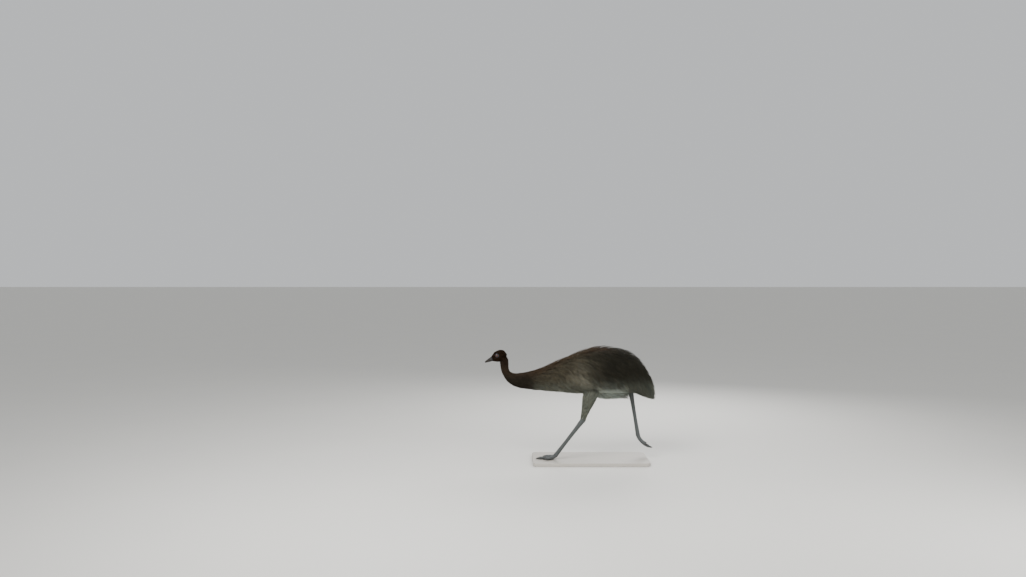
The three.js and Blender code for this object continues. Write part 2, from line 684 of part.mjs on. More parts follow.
function thighWithLocks(side, trunkLocks, trunk) {
  const rows = thighRows(LEGS[side]);
  const surface = {
    point: (u, v, inset) => limbPoint(rows, u, v, inset),
    middle: (u) => limbFrame(rows, u).middle,
  };
  const coat = { ...COATS.thigh, seed: COATS.thigh.seed[side], depth: thighDepth };
  const locks = locksOver(surface, trunkLocks, coat);
  const shell = cutBy(fused(locks), [...trunkLocks.map(({ solid }) => solid), trunk]);
  return largest(thighCore(LEGS[side]).add(shell));
}

const solids = { ...headNodes(), wing_left: largest(wing(1)), wing_right: largest(wing(-1)) };
let front = [];
Object.entries(STRETCHES).forEach(([name, [from, to]], i) => {
  const behind = Object.values(STRETCHES)[i + 1];
  let core = stretch(from, to);
  const locks = COATS[name] ? locksOver(bodySurface, front, { depth: coatDepth, ...COATS[name] }) : [];
  const clear = front.map(({ solid }) => solid);
  const ahead = Object.values(STRETCHES)[i - 1];
  for (const next of [behind, ahead]) if (next) clear.push(stretch(...next, 0.9 * GAP));
  if (name === 'torso') {
    core = cutBy(core, grownThighs);
    clear.push(...grownThighs);
    const trunk = stretch(from, to, GAP);
    for (const side of ['left', 'right']) solids['thigh_' + side] = thighWithLocks(side, locks, trunk);
  }
  if (locks.length) core = core.add(cutBy(fused(locks), clear));
  solids[name] = largest(name === 'torso' ? cutBy(core, grownWings) : core);
  front = locks;
});
for (const side of ['left', 'right']) Object.assign(solids, legNodes(side, solids['thigh_' + side]));
solids.stand_base = base();

// Looks
const FINISHES = {
  coat: { color: 0x4a4038, roughness: 0.9 },
  bill: { color: 0x24201e, roughness: 0.45 },
  eye: { color: 0x5a2c12, roughness: 0.1 },
  scale: { color: 0x57514a, roughness: 0.65 },
  claw: { color: 0x1d1a18, roughness: 0.4 },
  base: { color: 0xc9c4ba, roughness: 0.6 },
};
const finishOf = (name) => {
  if (name.startsWith('stand_')) return 'base';
  if (name.startsWith('bill_')) return 'bill';
  if (name.startsWith('eye_')) return 'eye';
  if (name.startsWith('claw_')) return 'claw';
  if (/^(shank|foot|toe)_/.test(name)) return 'scale';
  return 'coat';
};

const emu = new THREE.Group();
emu.name = 'emu';
for (const [name, solid] of Object.entries(solids)) {
  const finish = new THREE.MeshStandardMaterial({ metalness: 0, ...FINISHES[finishOf(name)] });
  const mesh = new THREE.Mesh(geometryOf(solid), finish);
  mesh.name = name;
  emu.add(mesh);
}
// The part's own origin is the middle of its footprint
const bounds = new THREE.Box3().setFromObject(emu);
const footprint = bounds.getCenter(v3(0, 0, 0));
emu.position.set(-footprint.x, -footprint.y, -bounds.min.z);

const part = new THREE.Group();
part.add(emu);
export default part;
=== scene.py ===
"""The looks of a life-size running emu on its display base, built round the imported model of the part.

Shapes are worked out in millimetres in the bird's own frame, whose z = 0 is the base's top, and
mesh_object() sets them in the part's frame in metres."""

import math
from collections import namedtuple

import bpy
import numpy as np
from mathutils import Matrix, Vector


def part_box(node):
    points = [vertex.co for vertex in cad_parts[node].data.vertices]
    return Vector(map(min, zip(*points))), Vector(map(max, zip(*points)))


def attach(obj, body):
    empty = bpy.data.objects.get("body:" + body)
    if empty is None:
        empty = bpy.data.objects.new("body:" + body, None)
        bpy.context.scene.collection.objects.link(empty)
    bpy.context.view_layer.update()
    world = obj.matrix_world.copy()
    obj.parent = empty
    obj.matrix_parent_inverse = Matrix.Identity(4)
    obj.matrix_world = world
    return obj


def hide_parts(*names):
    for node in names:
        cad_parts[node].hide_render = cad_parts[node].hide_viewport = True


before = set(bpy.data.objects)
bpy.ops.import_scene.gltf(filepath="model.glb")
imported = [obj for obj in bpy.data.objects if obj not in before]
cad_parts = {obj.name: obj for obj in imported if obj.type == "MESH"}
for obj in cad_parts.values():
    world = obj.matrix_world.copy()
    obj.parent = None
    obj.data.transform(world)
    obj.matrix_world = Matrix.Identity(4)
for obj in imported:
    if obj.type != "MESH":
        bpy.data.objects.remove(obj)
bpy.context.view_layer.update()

# Frame of the bird in the part
MM = 0.001
BASE_MIDDLE_X = 75
base_low, base_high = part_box("stand_base")
ORIGIN = np.array([(base_low.x + base_high.x) / 2 - BASE_MIDDLE_X * MM, 0, base_high.z])
Y = np.array([0.0, 1.0, 0.0])
UP = np.array([0.0, 0.0, 1.0])

# Driving dimensions, in millimetres
TRUNK_COAT = 56
NECK_COAT = 9
THIGH_COAT = 18
HEAD_COAT = 2
EYE_R = 12.5
MIDDLE_TOE = 128
# Least height of the feet above the base's top
GROUND = 0.3
# How the trunk's section differs from an ellipse: wider below its middle, and fuller towards the keel
PEAR = 0.12
FULL = 0.28
# Side of a tuft's patch on the coat's UV map
UV_PATCH = 0.003
# Step for slopes, in row numbers and radians
NEAR = 0.02
STRANDS = 7
QUICK_STRANDS = 4

# The coat's outline from nape to tail, station by station:
# crown x, crown z, keel x, keel z, half width
BODY = np.array([
    [726, 790, 774, 765, 23],
    [704, 752, 760, 737, 24],
    [698, 698, 757, 683, 26],
    [686, 664, 738, 630, 30],
    [656, 650, 698, 577, 37],
    [603, 652, 634, 542, 46],
    [527, 667, 542, 526, 61],
    [450, 692, 452, 517, 82],
    [359, 736, 360, 510, 108],
    [244, 791, 258, 502, 140],
    [122, 838, 142, 497, 168],
    [0, 862, 18, 503, 186],
    [-122, 846, -92, 507, 190],
    [-237, 804, -184, 507, 181],
    [-328, 725, -252, 500, 158],
    [-386, 633, -304, 482, 122],
    [-420, 546, -346, 466, 94],
    [-424, 500, -380, 456, 66],
], float)
LAST = len(BODY) - 1

# Leg joints
LEGS = {
    "left": {"knee": [40, 84, 631], "hock": [137, 88, 302], "toe_root": [340, 62, 31]},
    "right": {"knee": [85, -86, 552], "hock": [-252, -92, 490], "toe_root": [-305, -76, 160]},
}
# From joint to joint: share of the way, half width, half depth
THIGH_LINE = [
    [-0.16, 42, 50], [0, 48, 70], [0.25, 47, 66], [0.5, 40, 53], [0.75, 29, 34], [0.93, 20, 23],
]
SHANK_LINE = [
    [0, 17, 19], [0.08, 15.5, 18.5], [0.16, 13.5, 16.5], [0.3, 12, 15], [0.6, 11, 13.5],
    [0.88, 13, 15], [0.98, 17, 16],
]
HOCK_R = 21
# Length of a scute on the shank and on a toe
SCUTE = 11.5
TOE_SCUTE = 7.5
# Pitch in degrees of the foot's four lengths, each toe's end and its claw
TOE_PITCH = {
    "left": [-30, -34, -9, -4, -2, -1],
    "right": [-104, -112, -126, -138, -150, -158],
}
# Spread in degrees, and size beside the middle toe's
TOES = {"inner": (-33, 0.7), "middle": (0, 1), "outer": (33, 0.72)}

# Head, in its own frame: +x to the bill's tip, origin midway between the eyes
HEAD_PLACE = np.array([782.0, 0, 779])
HEAD_PITCH = math.radians(17)
# From the back of the skull to the bill's tip: x, middle z, half width, half height
HEAD = np.array([
    [-66, -4, 9, 10],
    [-58, -3, 24, 26],
    [-38, 1, 30.5, 34],
    [-12, 4, 30.5, 35],
    [12, 2, 28, 31],
    [32, -3.5, 23, 23.5],
    [50, -7, 19.5, 17.5],
    [72, -10, 16.5, 13],
    [91, -13, 11.5, 9],
    [102, -15, 6.5, 5.5],
    [106, -16, 2.5, 2.5],
], float)
BILL_ROW = 6
EYE = np.array([4, 19.5, 9])
LID = {"long": 12.5, "high": 11, "apart": 2.6, "thick": 1.5, "rim": 1.1}
EAR = {"x": -31, "z": -7, "hole": 4.6, "rim": 7.2, "deep": 7}
MOUTH_Z = -14.5
HALF_GAPE = 0.3
# The skin's depth below HEAD's outline
SKIN_DEPTH = 1.0
NOSTRIL = {"x": 71, "z": -4.5, "long": 7, "high": 2.0, "deep": 3.2}

# Wings: the trunk's stations from shoulder to tip, and the angle from the crown in degrees
WING = {"from": 8.75, "to": 10.05, "angle": 86, "droop": 24}
# From shoulder to tip: share of the way, depth below the coat's outline, half thickness, half width
WING_LINE = [[0, 22, 8, 14], [0.35, 9, 10, 23], [0.7, 4, 8, 18], [1, 4, 3.5, 7]]
# The skin of a wing under its coat
WING_SKIN = {"deeper": 5, "thick": 0.35, "wide": 0.5}
WING_TUFTS = 130
QUICK_WING_TUFTS = 60


# Shapes

def unit(a):
    return a / np.maximum(np.linalg.norm(a, axis=-1, keepdims=True), 1e-9)


def dot(a, b):
    return np.sum(a * b, axis=-1, keepdims=True)


def smoothstep(low, high, x):
    t = np.clip((x - low) / (high - low), 0, 1)
    return t * t * (3 - 2 * t)


def along(rows, t):
    """The rows blended smoothly at the row numbers t (Catmull-Rom), and straight on past the ends."""
    t = np.asarray(t, float)[..., None]
    last = len(rows) - 1
    padded = np.vstack([2 * rows[0] - rows[1], rows, 2 * rows[-1] - rows[-2]])
    i = np.clip(np.floor(t[..., 0]).astype(int), 0, last - 1)
    f = t - i[..., None]
    a, b, c, d = (padded[i + k] for k in range(4))
    inside = b + 0.5 * f * (c - a + f * (2 * a - 5 * b + 4 * c - d + f * (3 * (b - c) + d - a)))
    before = rows[0] + t * (rows[1] - rows[0])
    after = rows[last] + (t - last) * (rows[last] - rows[last - 1])
    return np.where(t < 0, before, np.where(t > last, after, inside))


def trunkness(u):
    """0 on the neck and 1 on the trunk."""
    return smoothstep(5, 9.5, u)


def coat_depth(u):
    return NECK_COAT + (TRUNK_COAT - NECK_COAT) * trunkness(u)


def skin_inset(u):
    """How far the skin lies below the coat's outline."""
    return 0.8 + 0.96 * coat_depth(u) * smoothstep(0.2, 2.5, u)


def body_point(u, v, inset):
    """A point below the coat's outline by inset, at station u and angle v, which goes from 0 at the
    crown to plus or minus pi at the keel and is positive on the left."""
    row = along(BODY, u)
    none = np.zeros_like(row[..., 0])
    crown = np.stack([row[..., 0], none, row[..., 1]], -1)
    keel = np.stack([row[..., 2], none, row[..., 3]], -1)
    middle = (crown + keel) / 2
    high = np.linalg.norm(crown - middle, axis=-1)
    wide = np.maximum(row[..., 4], 12)
    up = unit(crown - middle) * (high - np.minimum(inset, 0.6 * high))[..., None]
    wide = wide - np.minimum(inset, 0.6 * wide)
    c, s = np.cos(v), np.sin(v)
    trunk = trunkness(u)
    power = np.where(c < 0, 1 - FULL * trunk, 1)
    reach = np.sign(s) * np.abs(s) ** power * (1 - PEAR * trunk * c)
    return middle + up * c[..., None] + Y * (wide * reach)[..., None]


def body_middle(u):
    row = along(BODY, u)
    none = np.zeros_like(row[..., 0])
    return np.stack([(row[..., 0] + row[..., 2]) / 2, none, (row[..., 1] + row[..., 3]) / 2], -1)


def limb_frame(rows, t):
    """Middle, way ahead, left side and back of a limb at row number t."""
    end = len(rows) - 1
    after = along(rows[:, :3], np.minimum(t + NEAR, end))
    before = along(rows[:, :3], np.maximum(np.minimum(t, end) - NEAR, 0))
    ahead = unit(after - before)
    side = unit(Y - ahead * dot(ahead, Y))
    return along(rows[:, :3], t), ahead, side, np.cross(side, ahead)


def limb_point(rows, t, v, inset=0.0):
    """A point of a limb at row number t; v is 0 on its left, a quarter turn behind it, and so on."""
    middle, _, side, back = limb_frame(rows, t)
    size = along(rows[:, 3:5], np.minimum(t, len(rows) - 1))
    wide, deep = size[..., 0] - inset, size[..., 1] - inset
    return middle + side * (wide * np.cos(v))[..., None] + back * (deep * np.sin(v))[..., None]


def joined(a, b, line):
    """Rows of a limb from joint a to joint b."""
    a, b = np.array(a, float), np.array(b, float)
    return np.array([[*(a + (b - a) * share), *size] for share, *size in line])


def turning(start, spread, rows):
    """Rows of a limb that turns through given pitches. Each row given is length, pitch in degrees, half
    width and half depth."""
    at = np.array(start, float)
    turn = math.radians(spread)
    made = []
    for length, pitch, wide, deep in rows:
        a = math.radians(pitch)
        way = [math.cos(a) * math.cos(turn), math.sin(turn), math.sin(a) * math.cos(turn)]
        at = at + np.array(way) * length
        made.append([*at, wide, deep])
    return np.array(made)


def head_point(t, v, inset=0.0):
    """A point of the head in its own frame at row t; v is 0 on top and positive on the left."""
    x, z, wide, high = np.moveaxis(along(HEAD, t), -1, 0)
    return np.stack([x, (wide - inset) * np.sin(v), z + (high - inset) * np.cos(v)], -1)


def bird_to_head(points):
    c, s = math.cos(HEAD_PITCH), math.sin(HEAD_PITCH)
    x, y, z = np.moveaxis(points - HEAD_PLACE, -1, 0)
    return np.stack([x * c - z * s, y, z * c + x * s], -1)


def head_to_bird(points):
    c, s = math.cos(HEAD_PITCH), math.sin(HEAD_PITCH)
    turned = np.stack([
        points[..., 0] * c + points[..., 2] * s,
        points[..., 1],
        points[..., 2] * c - points[..., 0] * s,
    ], -1)
    return turned + HEAD_PLACE


# Meshes

def mesh_object(name, points, faces, tint=None, uv=None):
    """An object of points in the bird's frame; faces is a list of arrays, each of faces alike."""
    mesh = bpy.data.meshes.new(name)
    loops = np.concatenate([f.ravel() for f in faces])
    sides = np.concatenate([np.full(len(f), f.shape[1]) for f in faces])
    mesh.vertices.add(len(points))
    mesh.vertices.foreach_set("co", in_part(points))
    mesh.loops.add(len(loops))
    mesh.loops.foreach_set("vertex_index", loops.astype(np.int32))
    mesh.polygons.add(len(sides))
    mesh.polygons.foreach_set("loop_start", (np.cumsum(sides) - sides).astype(np.int32))
    mesh.polygons.foreach_set("use_smooth", np.ones(len(sides), bool))
    mesh.update(calc_edges=True)
    if uv is not None:
        layer = mesh.uv_layers.new(name="OFBake")
        layer.data.foreach_set("uv", uv[loops].astype(np.float32).ravel())
    if tint is not None:
        paint(mesh, tint)
    made = bpy.data.objects.new(name, mesh)
    bpy.context.scene.collection.objects.link(made)
    return made


def paint(mesh, tint):
    """Stores a colour for each vertex, which the tinted materials read."""
    layer = mesh.attributes.new("tint", "FLOAT_COLOR", "POINT")
    rgba = np.concatenate([tint, np.ones((len(tint), 1))], 1)
    layer.data.foreach_set("color", rgba.astype(np.float32).ravel())


def in_part(points):
    """Coordinates in the part's frame in metres of points in the bird's frame, in one row."""
    return (points * MM + ORIGIN).astype(np.float32).ravel()


def points_of(piece):
    """A piece's vertices in the bird's frame."""
    co = np.zeros(len(piece.data.vertices) * 3, np.float32)
    piece.data.vertices.foreach_get("co", co)
    return (co.reshape(-1, 3) - ORIGIN) / MM


def tube(name, rings):
    """A closed skin over rings of points, an array of rings by sides by 3."""
    count, sides = rings.shape[:2]
    ends = np.stack([rings[0].mean(0), rings[-1].mean(0)])
    points = np.concatenate([rings.reshape(-1, 3), ends])
    i = np.arange(count - 1)[:, None] * sides
    j = np.arange(sides)
    k = (j + 1) % sides
    quads = np.stack([i + j, i + k, i + sides + k, i + sides + j], -1).reshape(-1, 4)
    top, base = count * sides, (count - 1) * sides
    first = np.stack([np.full(sides, top), k, j], -1)
    last = np.stack([np.full(sides, top + 1), base + j, base + k], -1)
    faces = [quads, np.concatenate([first, last])]
    volume = np.sum(np.cross(points[quads[:, 0]], points[quads[:, 1]]) * points[quads[:, 2]])
    volume += np.sum(np.cross(points[quads[:, 0]], points[quads[:, 2]]) * points[quads[:, 3]])
    if volume < 0:
        faces = [f[:, ::-1] for f in faces]
    return mesh_object(name, points, faces)


def ball(name, middle, radii, sides=32):
    """A closed ellipsoid."""
    pole = 0.02
    a = np.linspace(pole, math.pi - pole, sides // 2)[:, None]
    b = np.linspace(0, 2 * math.pi, sides, endpoint=False)[None, :]
    rings = np.stack([np.sin(a) * np.cos(b), np.sin(a) * np.sin(b), np.cos(a) + 0 * b], -1)
    return tube(name, rings * np.array(radii, float) + np.array(middle, float))


def united(target, others):
    """The target fused with the others, which go."""
    for other in others:
        join = target.modifiers.new("join", "BOOLEAN")
        join.operation = "UNION"
        join.solver = "MANIFOLD"
        join.object = other
    graph = bpy.context.evaluated_depsgraph_get()
    fused = bpy.data.meshes.new_from_object(target.evaluated_get(graph))
    target.modifiers.clear()
    target.data = fused
    for other in others:
        bpy.data.objects.remove(other)
    fused.polygons.foreach_set("use_smooth", np.ones(len(fused.polygons), bool))
    return target


# Colours: linear values of tones that are given in sRGB steps

def tone(r, g, b):
    srgb = np.array([r, g, b]) / 255
    return np.where(srgb <= 0.04045, srgb / 12.92, ((srgb + 0.055) / 1.055) ** 2.4)


HEAD_TONE = tone(38, 25, 14)
NAPE_TONE = tone(62, 49, 36)
NECK_TONE = tone(36, 31, 22)
BREAST_TONE = tone(73, 68, 55)
PATCH_TONE = tone(104, 101, 88)
BACK_TONE = tone(38, 36, 28)
CROWN_TONE = tone(60, 40, 23)
# Lighter tone low on the body: painted light from below, against the shade under the body
BELLY_PAINTED_LIGHT_TONE = tone(111, 115, 104)
# Pale fluff between the legs, made paler than its own tone as painted light against the shade under the
# belly
FLUFF_AND_PAINTED_LIGHT_TONE = tone(176, 184, 174)
FACE_TONE = tone(46, 49, 54)
PUPIL_TONE = tone(6, 5, 5)
IRIS_TONE = tone(78, 38, 18)
IRIS_GLOW = tone(104, 56, 26)
EYE_EDGE_TONE = tone(40, 34, 31)
LEG_TONE = tone(66, 70, 69)
# The skin's tone under the coat beside the coat's own, on the body and on the head: darker, as painted
# shade deep under the coat
UNDERCOAT_PAINTED_SHADE = 0.35
HEAD_UNDERCOAT_PAINTED_SHADE = 0.5


def blended(colour, other, share):
    """A colour with a share of another laid over it, for each point."""
    return colour * (1 - share[:, None]) + other * share[:, None]


def markings(points):
    """The coat's colour at points of the bird: dark neck, pale breast and shoulder, dark back and rear,
    lighter low on the body as painted light from below, and pale fluff low between the legs that is
    made paler still as painted light against the shade under the belly."""
    x, y, z = points.T
    back = smoothstep(110, 20, x)
    patch = np.exp(-(((x - 122) / 68) ** 2) - ((z - 565) / 135) ** 2)
    crown = np.interp(-x, -BODY[:, 0], BODY[:, 1])
    rim = 0.7 * (smoothstep(75, 10, crown - z) * smoothstep(-190, -60, x))
    # Painted light from below: the coat is lighter low on the body, where shade falls under it
    low = 0.75 * (smoothstep(600, 505, z) * (0.7 + 0.3 * smoothstep(-330, -150, x)))
    # Pale fluff between the legs, near white as painted light against the shade under the belly
    between_legs = smoothstep(15, -45, x) * smoothstep(-250, -180, x)
    off_right_side = smoothstep(-122, -88, y)
    fluff = 0.85 * (smoothstep(540, 512, z) * between_legs * off_right_side)
    colour = blended(BREAST_TONE, BACK_TONE, back)
    colour = blended(colour, PATCH_TONE, patch)
    colour = blended(colour, CROWN_TONE, rim)
    colour = blended(colour, BELLY_PAINTED_LIGHT_TONE, low)
    colour = blended(colour, FLUFF_AND_PAINTED_LIGHT_TONE, fluff)
    nape = smoothstep(590, 690, z)
    top = smoothstep(650, 765, z)
    neck = smoothstep(445, 525, x)
    return blended(colour, blended(blended(NECK_TONE, NAPE_TONE, nape), HEAD_TONE, top), neck)


# Materials

def material(name, roughness, **sockets):
    """A new material with its nodes, links and shader. sockets are further values of the shader's."""
    made = bpy.data.materials.new(name)
    made.use_nodes = True
    shader = made.node_tree.nodes["Principled BSDF"]
    shader.inputs["Roughness"].default_value = roughness
    for socket, value in sockets.items():
        shader.inputs[socket.replace("_", " ")].default_value = value
    return made, made.node_tree.nodes, made.node_tree.links, shader


def textured(nodes, links, kind, scale):
    texture = nodes.new(kind)
    texture.inputs["Scale"].default_value = scale
    coords = nodes.new("ShaderNodeTexCoord")
    links.new(coords.outputs["Object"], texture.inputs["Vector"])
    return texture


def multiplied(nodes, links, colour, factor):
    times = nodes.new("ShaderNodeVectorMath")
    times.operation = "SCALE"
    links.new(colour, times.inputs[0])
    links.new(factor, times.inputs["Scale"])
    return times.outputs["Vector"]


def speckled(nodes, links, colour, grain, dark, light):
    """Darkens and lightens a colour socket by a noise, and gives back the result's socket."""
    noise = textured(nodes, links, "ShaderNodeTexNoise", grain)
    noise.inputs["Detail"].default_value = 4
    span = nodes.new("ShaderNodeMapRange")
    span.inputs["To Min"].default_value = dark
    span.inputs["To Max"].default_value = light
    links.new(noise.outputs["Fac"], span.inputs["Value"])
    return multiplied(nodes, links, colour, span.outputs["Result"])


def bumped(nodes, links, shader, height, depth):
    bump = nodes.new("ShaderNodeBump")
    bump.inputs["Distance"].default_value = depth
    links.new(height, bump.inputs["Height"])
    links.new(bump.outputs["Normal"], shader.inputs["Normal"])


def mesh_tint(nodes):
    tint = nodes.new("ShaderNodeAttribute")
    tint.attribute_name = "tint"
    return tint.outputs["Color"]


def finish_of(name, colour, roughness, grain, dark, light, bump_grain=0, depth=0.0, **sockets):
    """A speckled and finely bumped material of one colour, or of the mesh's tint where colour is None."""
    made, nodes, links, shader = material(name, roughness, **sockets)
    if colour is None:
        base = mesh_tint(nodes)
    else:
        base = nodes.new("ShaderNodeRGB").outputs[0]
        base.default_value = (*colour, 1)
    links.new(speckled(nodes, links, base, grain, dark, light), shader.inputs["Base Color"])
    if bump_grain:
        texture = textured(nodes, links, "ShaderNodeTexNoise", bump_grain)
        bumped(nodes, links, shader, texture.outputs["Fac"], depth)
    return made


def scaled(name, roughness, scale, groove, depth):
    """A tinted material of small raised scales with dark grooves between them."""
    made, nodes, links, shader = material(name, roughness)
    cells = textured(nodes, links, "ShaderNodeTexVoronoi", scale)
    cells.feature = "DISTANCE_TO_EDGE"
    raised = nodes.new("ShaderNodeMapRange")
    raised.interpolation_type = "SMOOTHSTEP"
    raised.inputs["From Max"].default_value = 0.16
    raised.inputs["To Min"].default_value = groove
    links.new(cells.outputs["Distance"], raised.inputs["Value"])
    base = speckled(nodes, links, mesh_tint(nodes), grain=90, dark=0.7, light=1.3)
    links.new(multiplied(nodes, links, base, raised.outputs["Result"]), shader.inputs["Base Color"])
    bumped(nodes, links, shader, raised.outputs["Result"], depth)
    return made


FEATHER = finish_of("feather", None, 0.62, grain=60, dark=0.75, light=1.3, Specular_IOR_Level=0.14)
HEAD_FEATHER = finish_of(
    "head_feather", None, 0.65, grain=90, dark=0.8, light=1.25, Specular_IOR_Level=0.08)
SKIN = finish_of(
    "bare_skin", None, 0.7, grain=160, dark=0.75, light=1.25,
    bump_grain=700, depth=0.0006, Specular_IOR_Level=0.25)
EYE_FINISH = finish_of("eye", None, 0.04, grain=200, dark=0.9, light=1.1, Specular_IOR_Level=0.45)
SCALE = scaled("scaly_skin", 0.5, scale=230, groove=0.55, depth=0.0006)
BILL = finish_of(
    "horn_of_the_bill", tone(32, 27, 23), 0.52, grain=70, dark=0.6, light=1.45,
    bump_grain=350, depth=0.00014, Specular_IOR_Level=0.35)
CLAW = finish_of(
    "horn_of_the_claws", tone(34, 31, 28), 0.38, grain=120, dark=0.75, light=1.3,
    bump_grain=900, depth=0.00015)
PLINTH = finish_of(
    "plinth", tone(176, 171, 162), 0.55, grain=30, dark=0.95, light=1.04,
    bump_grain=260, depth=0.0003)
FLOOR = finish_of("floor", tone(214, 212, 206), 0.8, grain=1.5, dark=0.98, light=1.02)


def piece_of(piece, finish, slot, *nodes):
    """Gives a piece its material and body, and hides the solids that it stands for. slot is not used."""
    piece.data.materials.clear()
    piece.data.materials.append(finish)
    if nodes:
        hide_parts(*nodes)
    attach(piece, "root")
    return piece


# The coat

# point(u, v, inset) is a point below the coat's outline, and middle(u) one of the middle line
Surface = namedtuple("Surface", "point middle")
# Where a tuft's middle line is worked out, as shares of its length
STATIONS = np.array([0, 0.1, 0.25, 0.45, 0.7, 1.0])
# Least and greatest length and shade of a tuft, and length, width and shade of a strand, beside the usual
TUFT_LENGTH = (0.8, 1.2)
TUFT_SHADE = (0.85, 1.2)
STRAND_LENGTH = (0.72, 1.0)
STRAND_WIDTH = (0.7, 1.3)
STRAND_SHADE = (0.7, 1.35)
# A strand's width along it: shares of its length, and of its width there
STRAND_OUTLINE = ([0, 0.3, 0.65, 1], [0.5, 1, 0.85, 0])
# Painted shade deep in the coat: how dark a strand is at its root, and how much lighter at its tip
ROOT_PAINTED_SHADE = 0.62
TIP_LIGHTER = 0.5


def turned(a, axis, angle):
    """a turned about a unit axis by angle."""
    c, s = np.cos(angle)[:, None], np.sin(angle)[:, None]
    return a * c + np.cross(axis, a) * s + axis * dot(axis, a) * (1 - c)


def lie(surface, u, v, length, fall, turn, depths):
    """Middle lines of tufts, which run over a surface with the lie, towards its far end and falling by
    their weight. depths is how far each station lies below the outline."""
    path, outs = [], []
    for i, depth in enumerate(depths):
        here = surface.point(u, v, depth)
        along_u = (surface.point(u + NEAR, v, depth) - here) / NEAR
        along_v = (surface.point(u, v + NEAR, depth) - here) / NEAR
        out = unit(np.cross(along_u, along_v))
        out = out * np.sign(dot(out, here - surface.middle(u)))
        heading = turned(unit(along_u) - UP * fall[:, None], out, turn)
        pairs = ((along_u, along_u), (along_u, along_v), (along_v, along_v))
        uu, uv, vv = (np.sum(a * b, -1) for a, b in pairs)
        hu, hv = (np.sum(heading * a, -1) for a in (along_u, along_v))
        share = np.maximum(uu * vv - uv * uv, 1e-6)
        du, dv = (hu * vv - hv * uv) / share, (hv * uu - hu * uv) / share
        if i + 1 < len(depths):
            step = length * (STATIONS[i + 1] - STATIONS[i])
            speed = np.linalg.norm(along_u * du[:, None] + along_v * dv[:, None], axis=-1)
            pace = step / np.maximum(speed, 1e-6)
            u = u + du * pace
            v = v + dv * pace
        path.append(here)
        outs.append(out)
    return np.stack(path, 1), np.stack(outs, 1)


def roots_over(surface, rng, span, density, cells=(260, 160)):
    """Roots spread over a surface between two rows, density(u, v) to a square millimetre."""
    low, high = span
    du, dv = (high - low) / cells[0], 2 * math.pi / cells[1]
    u = low + (np.arange(cells[0])[:, None] + 0.5) * du + np.zeros((1, cells[1]))
    v = -math.pi + (np.arange(cells[1])[None, :] + 0.5) * dv + np.zeros((cells[0], 1))
    here = surface.point(u, v, 0 * u)
    a = surface.point(u + du, v, 0 * u) - here
    b = surface.point(u, v + dv, 0 * u) - here
    area = np.linalg.norm(np.cross(a, b), axis=-1)
    weight = np.cumsum((area * density(u, v)).ravel())
    count = int(weight[-1])
    at = (np.arange(count) + rng.random(count)) * weight[-1] / count
    cell = np.minimum(np.searchsorted(weight, at), weight.size - 1)
    u = u.ravel()[cell] + (rng.random(count) - 0.5) * du
    v = v.ravel()[cell] + (rng.random(count) - 0.5) * dv
    return u, v


def strand_faces(rings):
    """Faces of a three-sided strand that is closed at its root and pointed at its tip."""
    faces = [[0, 1, 2]]
    for r in range(rings - 1):
        p, q = 3 * r, 3 * r + 3
        for a, b in ((0, 1), (1, 2), (2, 0)):
            faces += [[p + b, p + a, q + a], [p + b, q + a, q + b]]
    tip, p = 3 * rings, 3 * (rings - 1)
    faces += [[p + 1, p, tip], [p + 2, p + 1, tip], [p, p + 2, tip]]
    return np.array(faces)


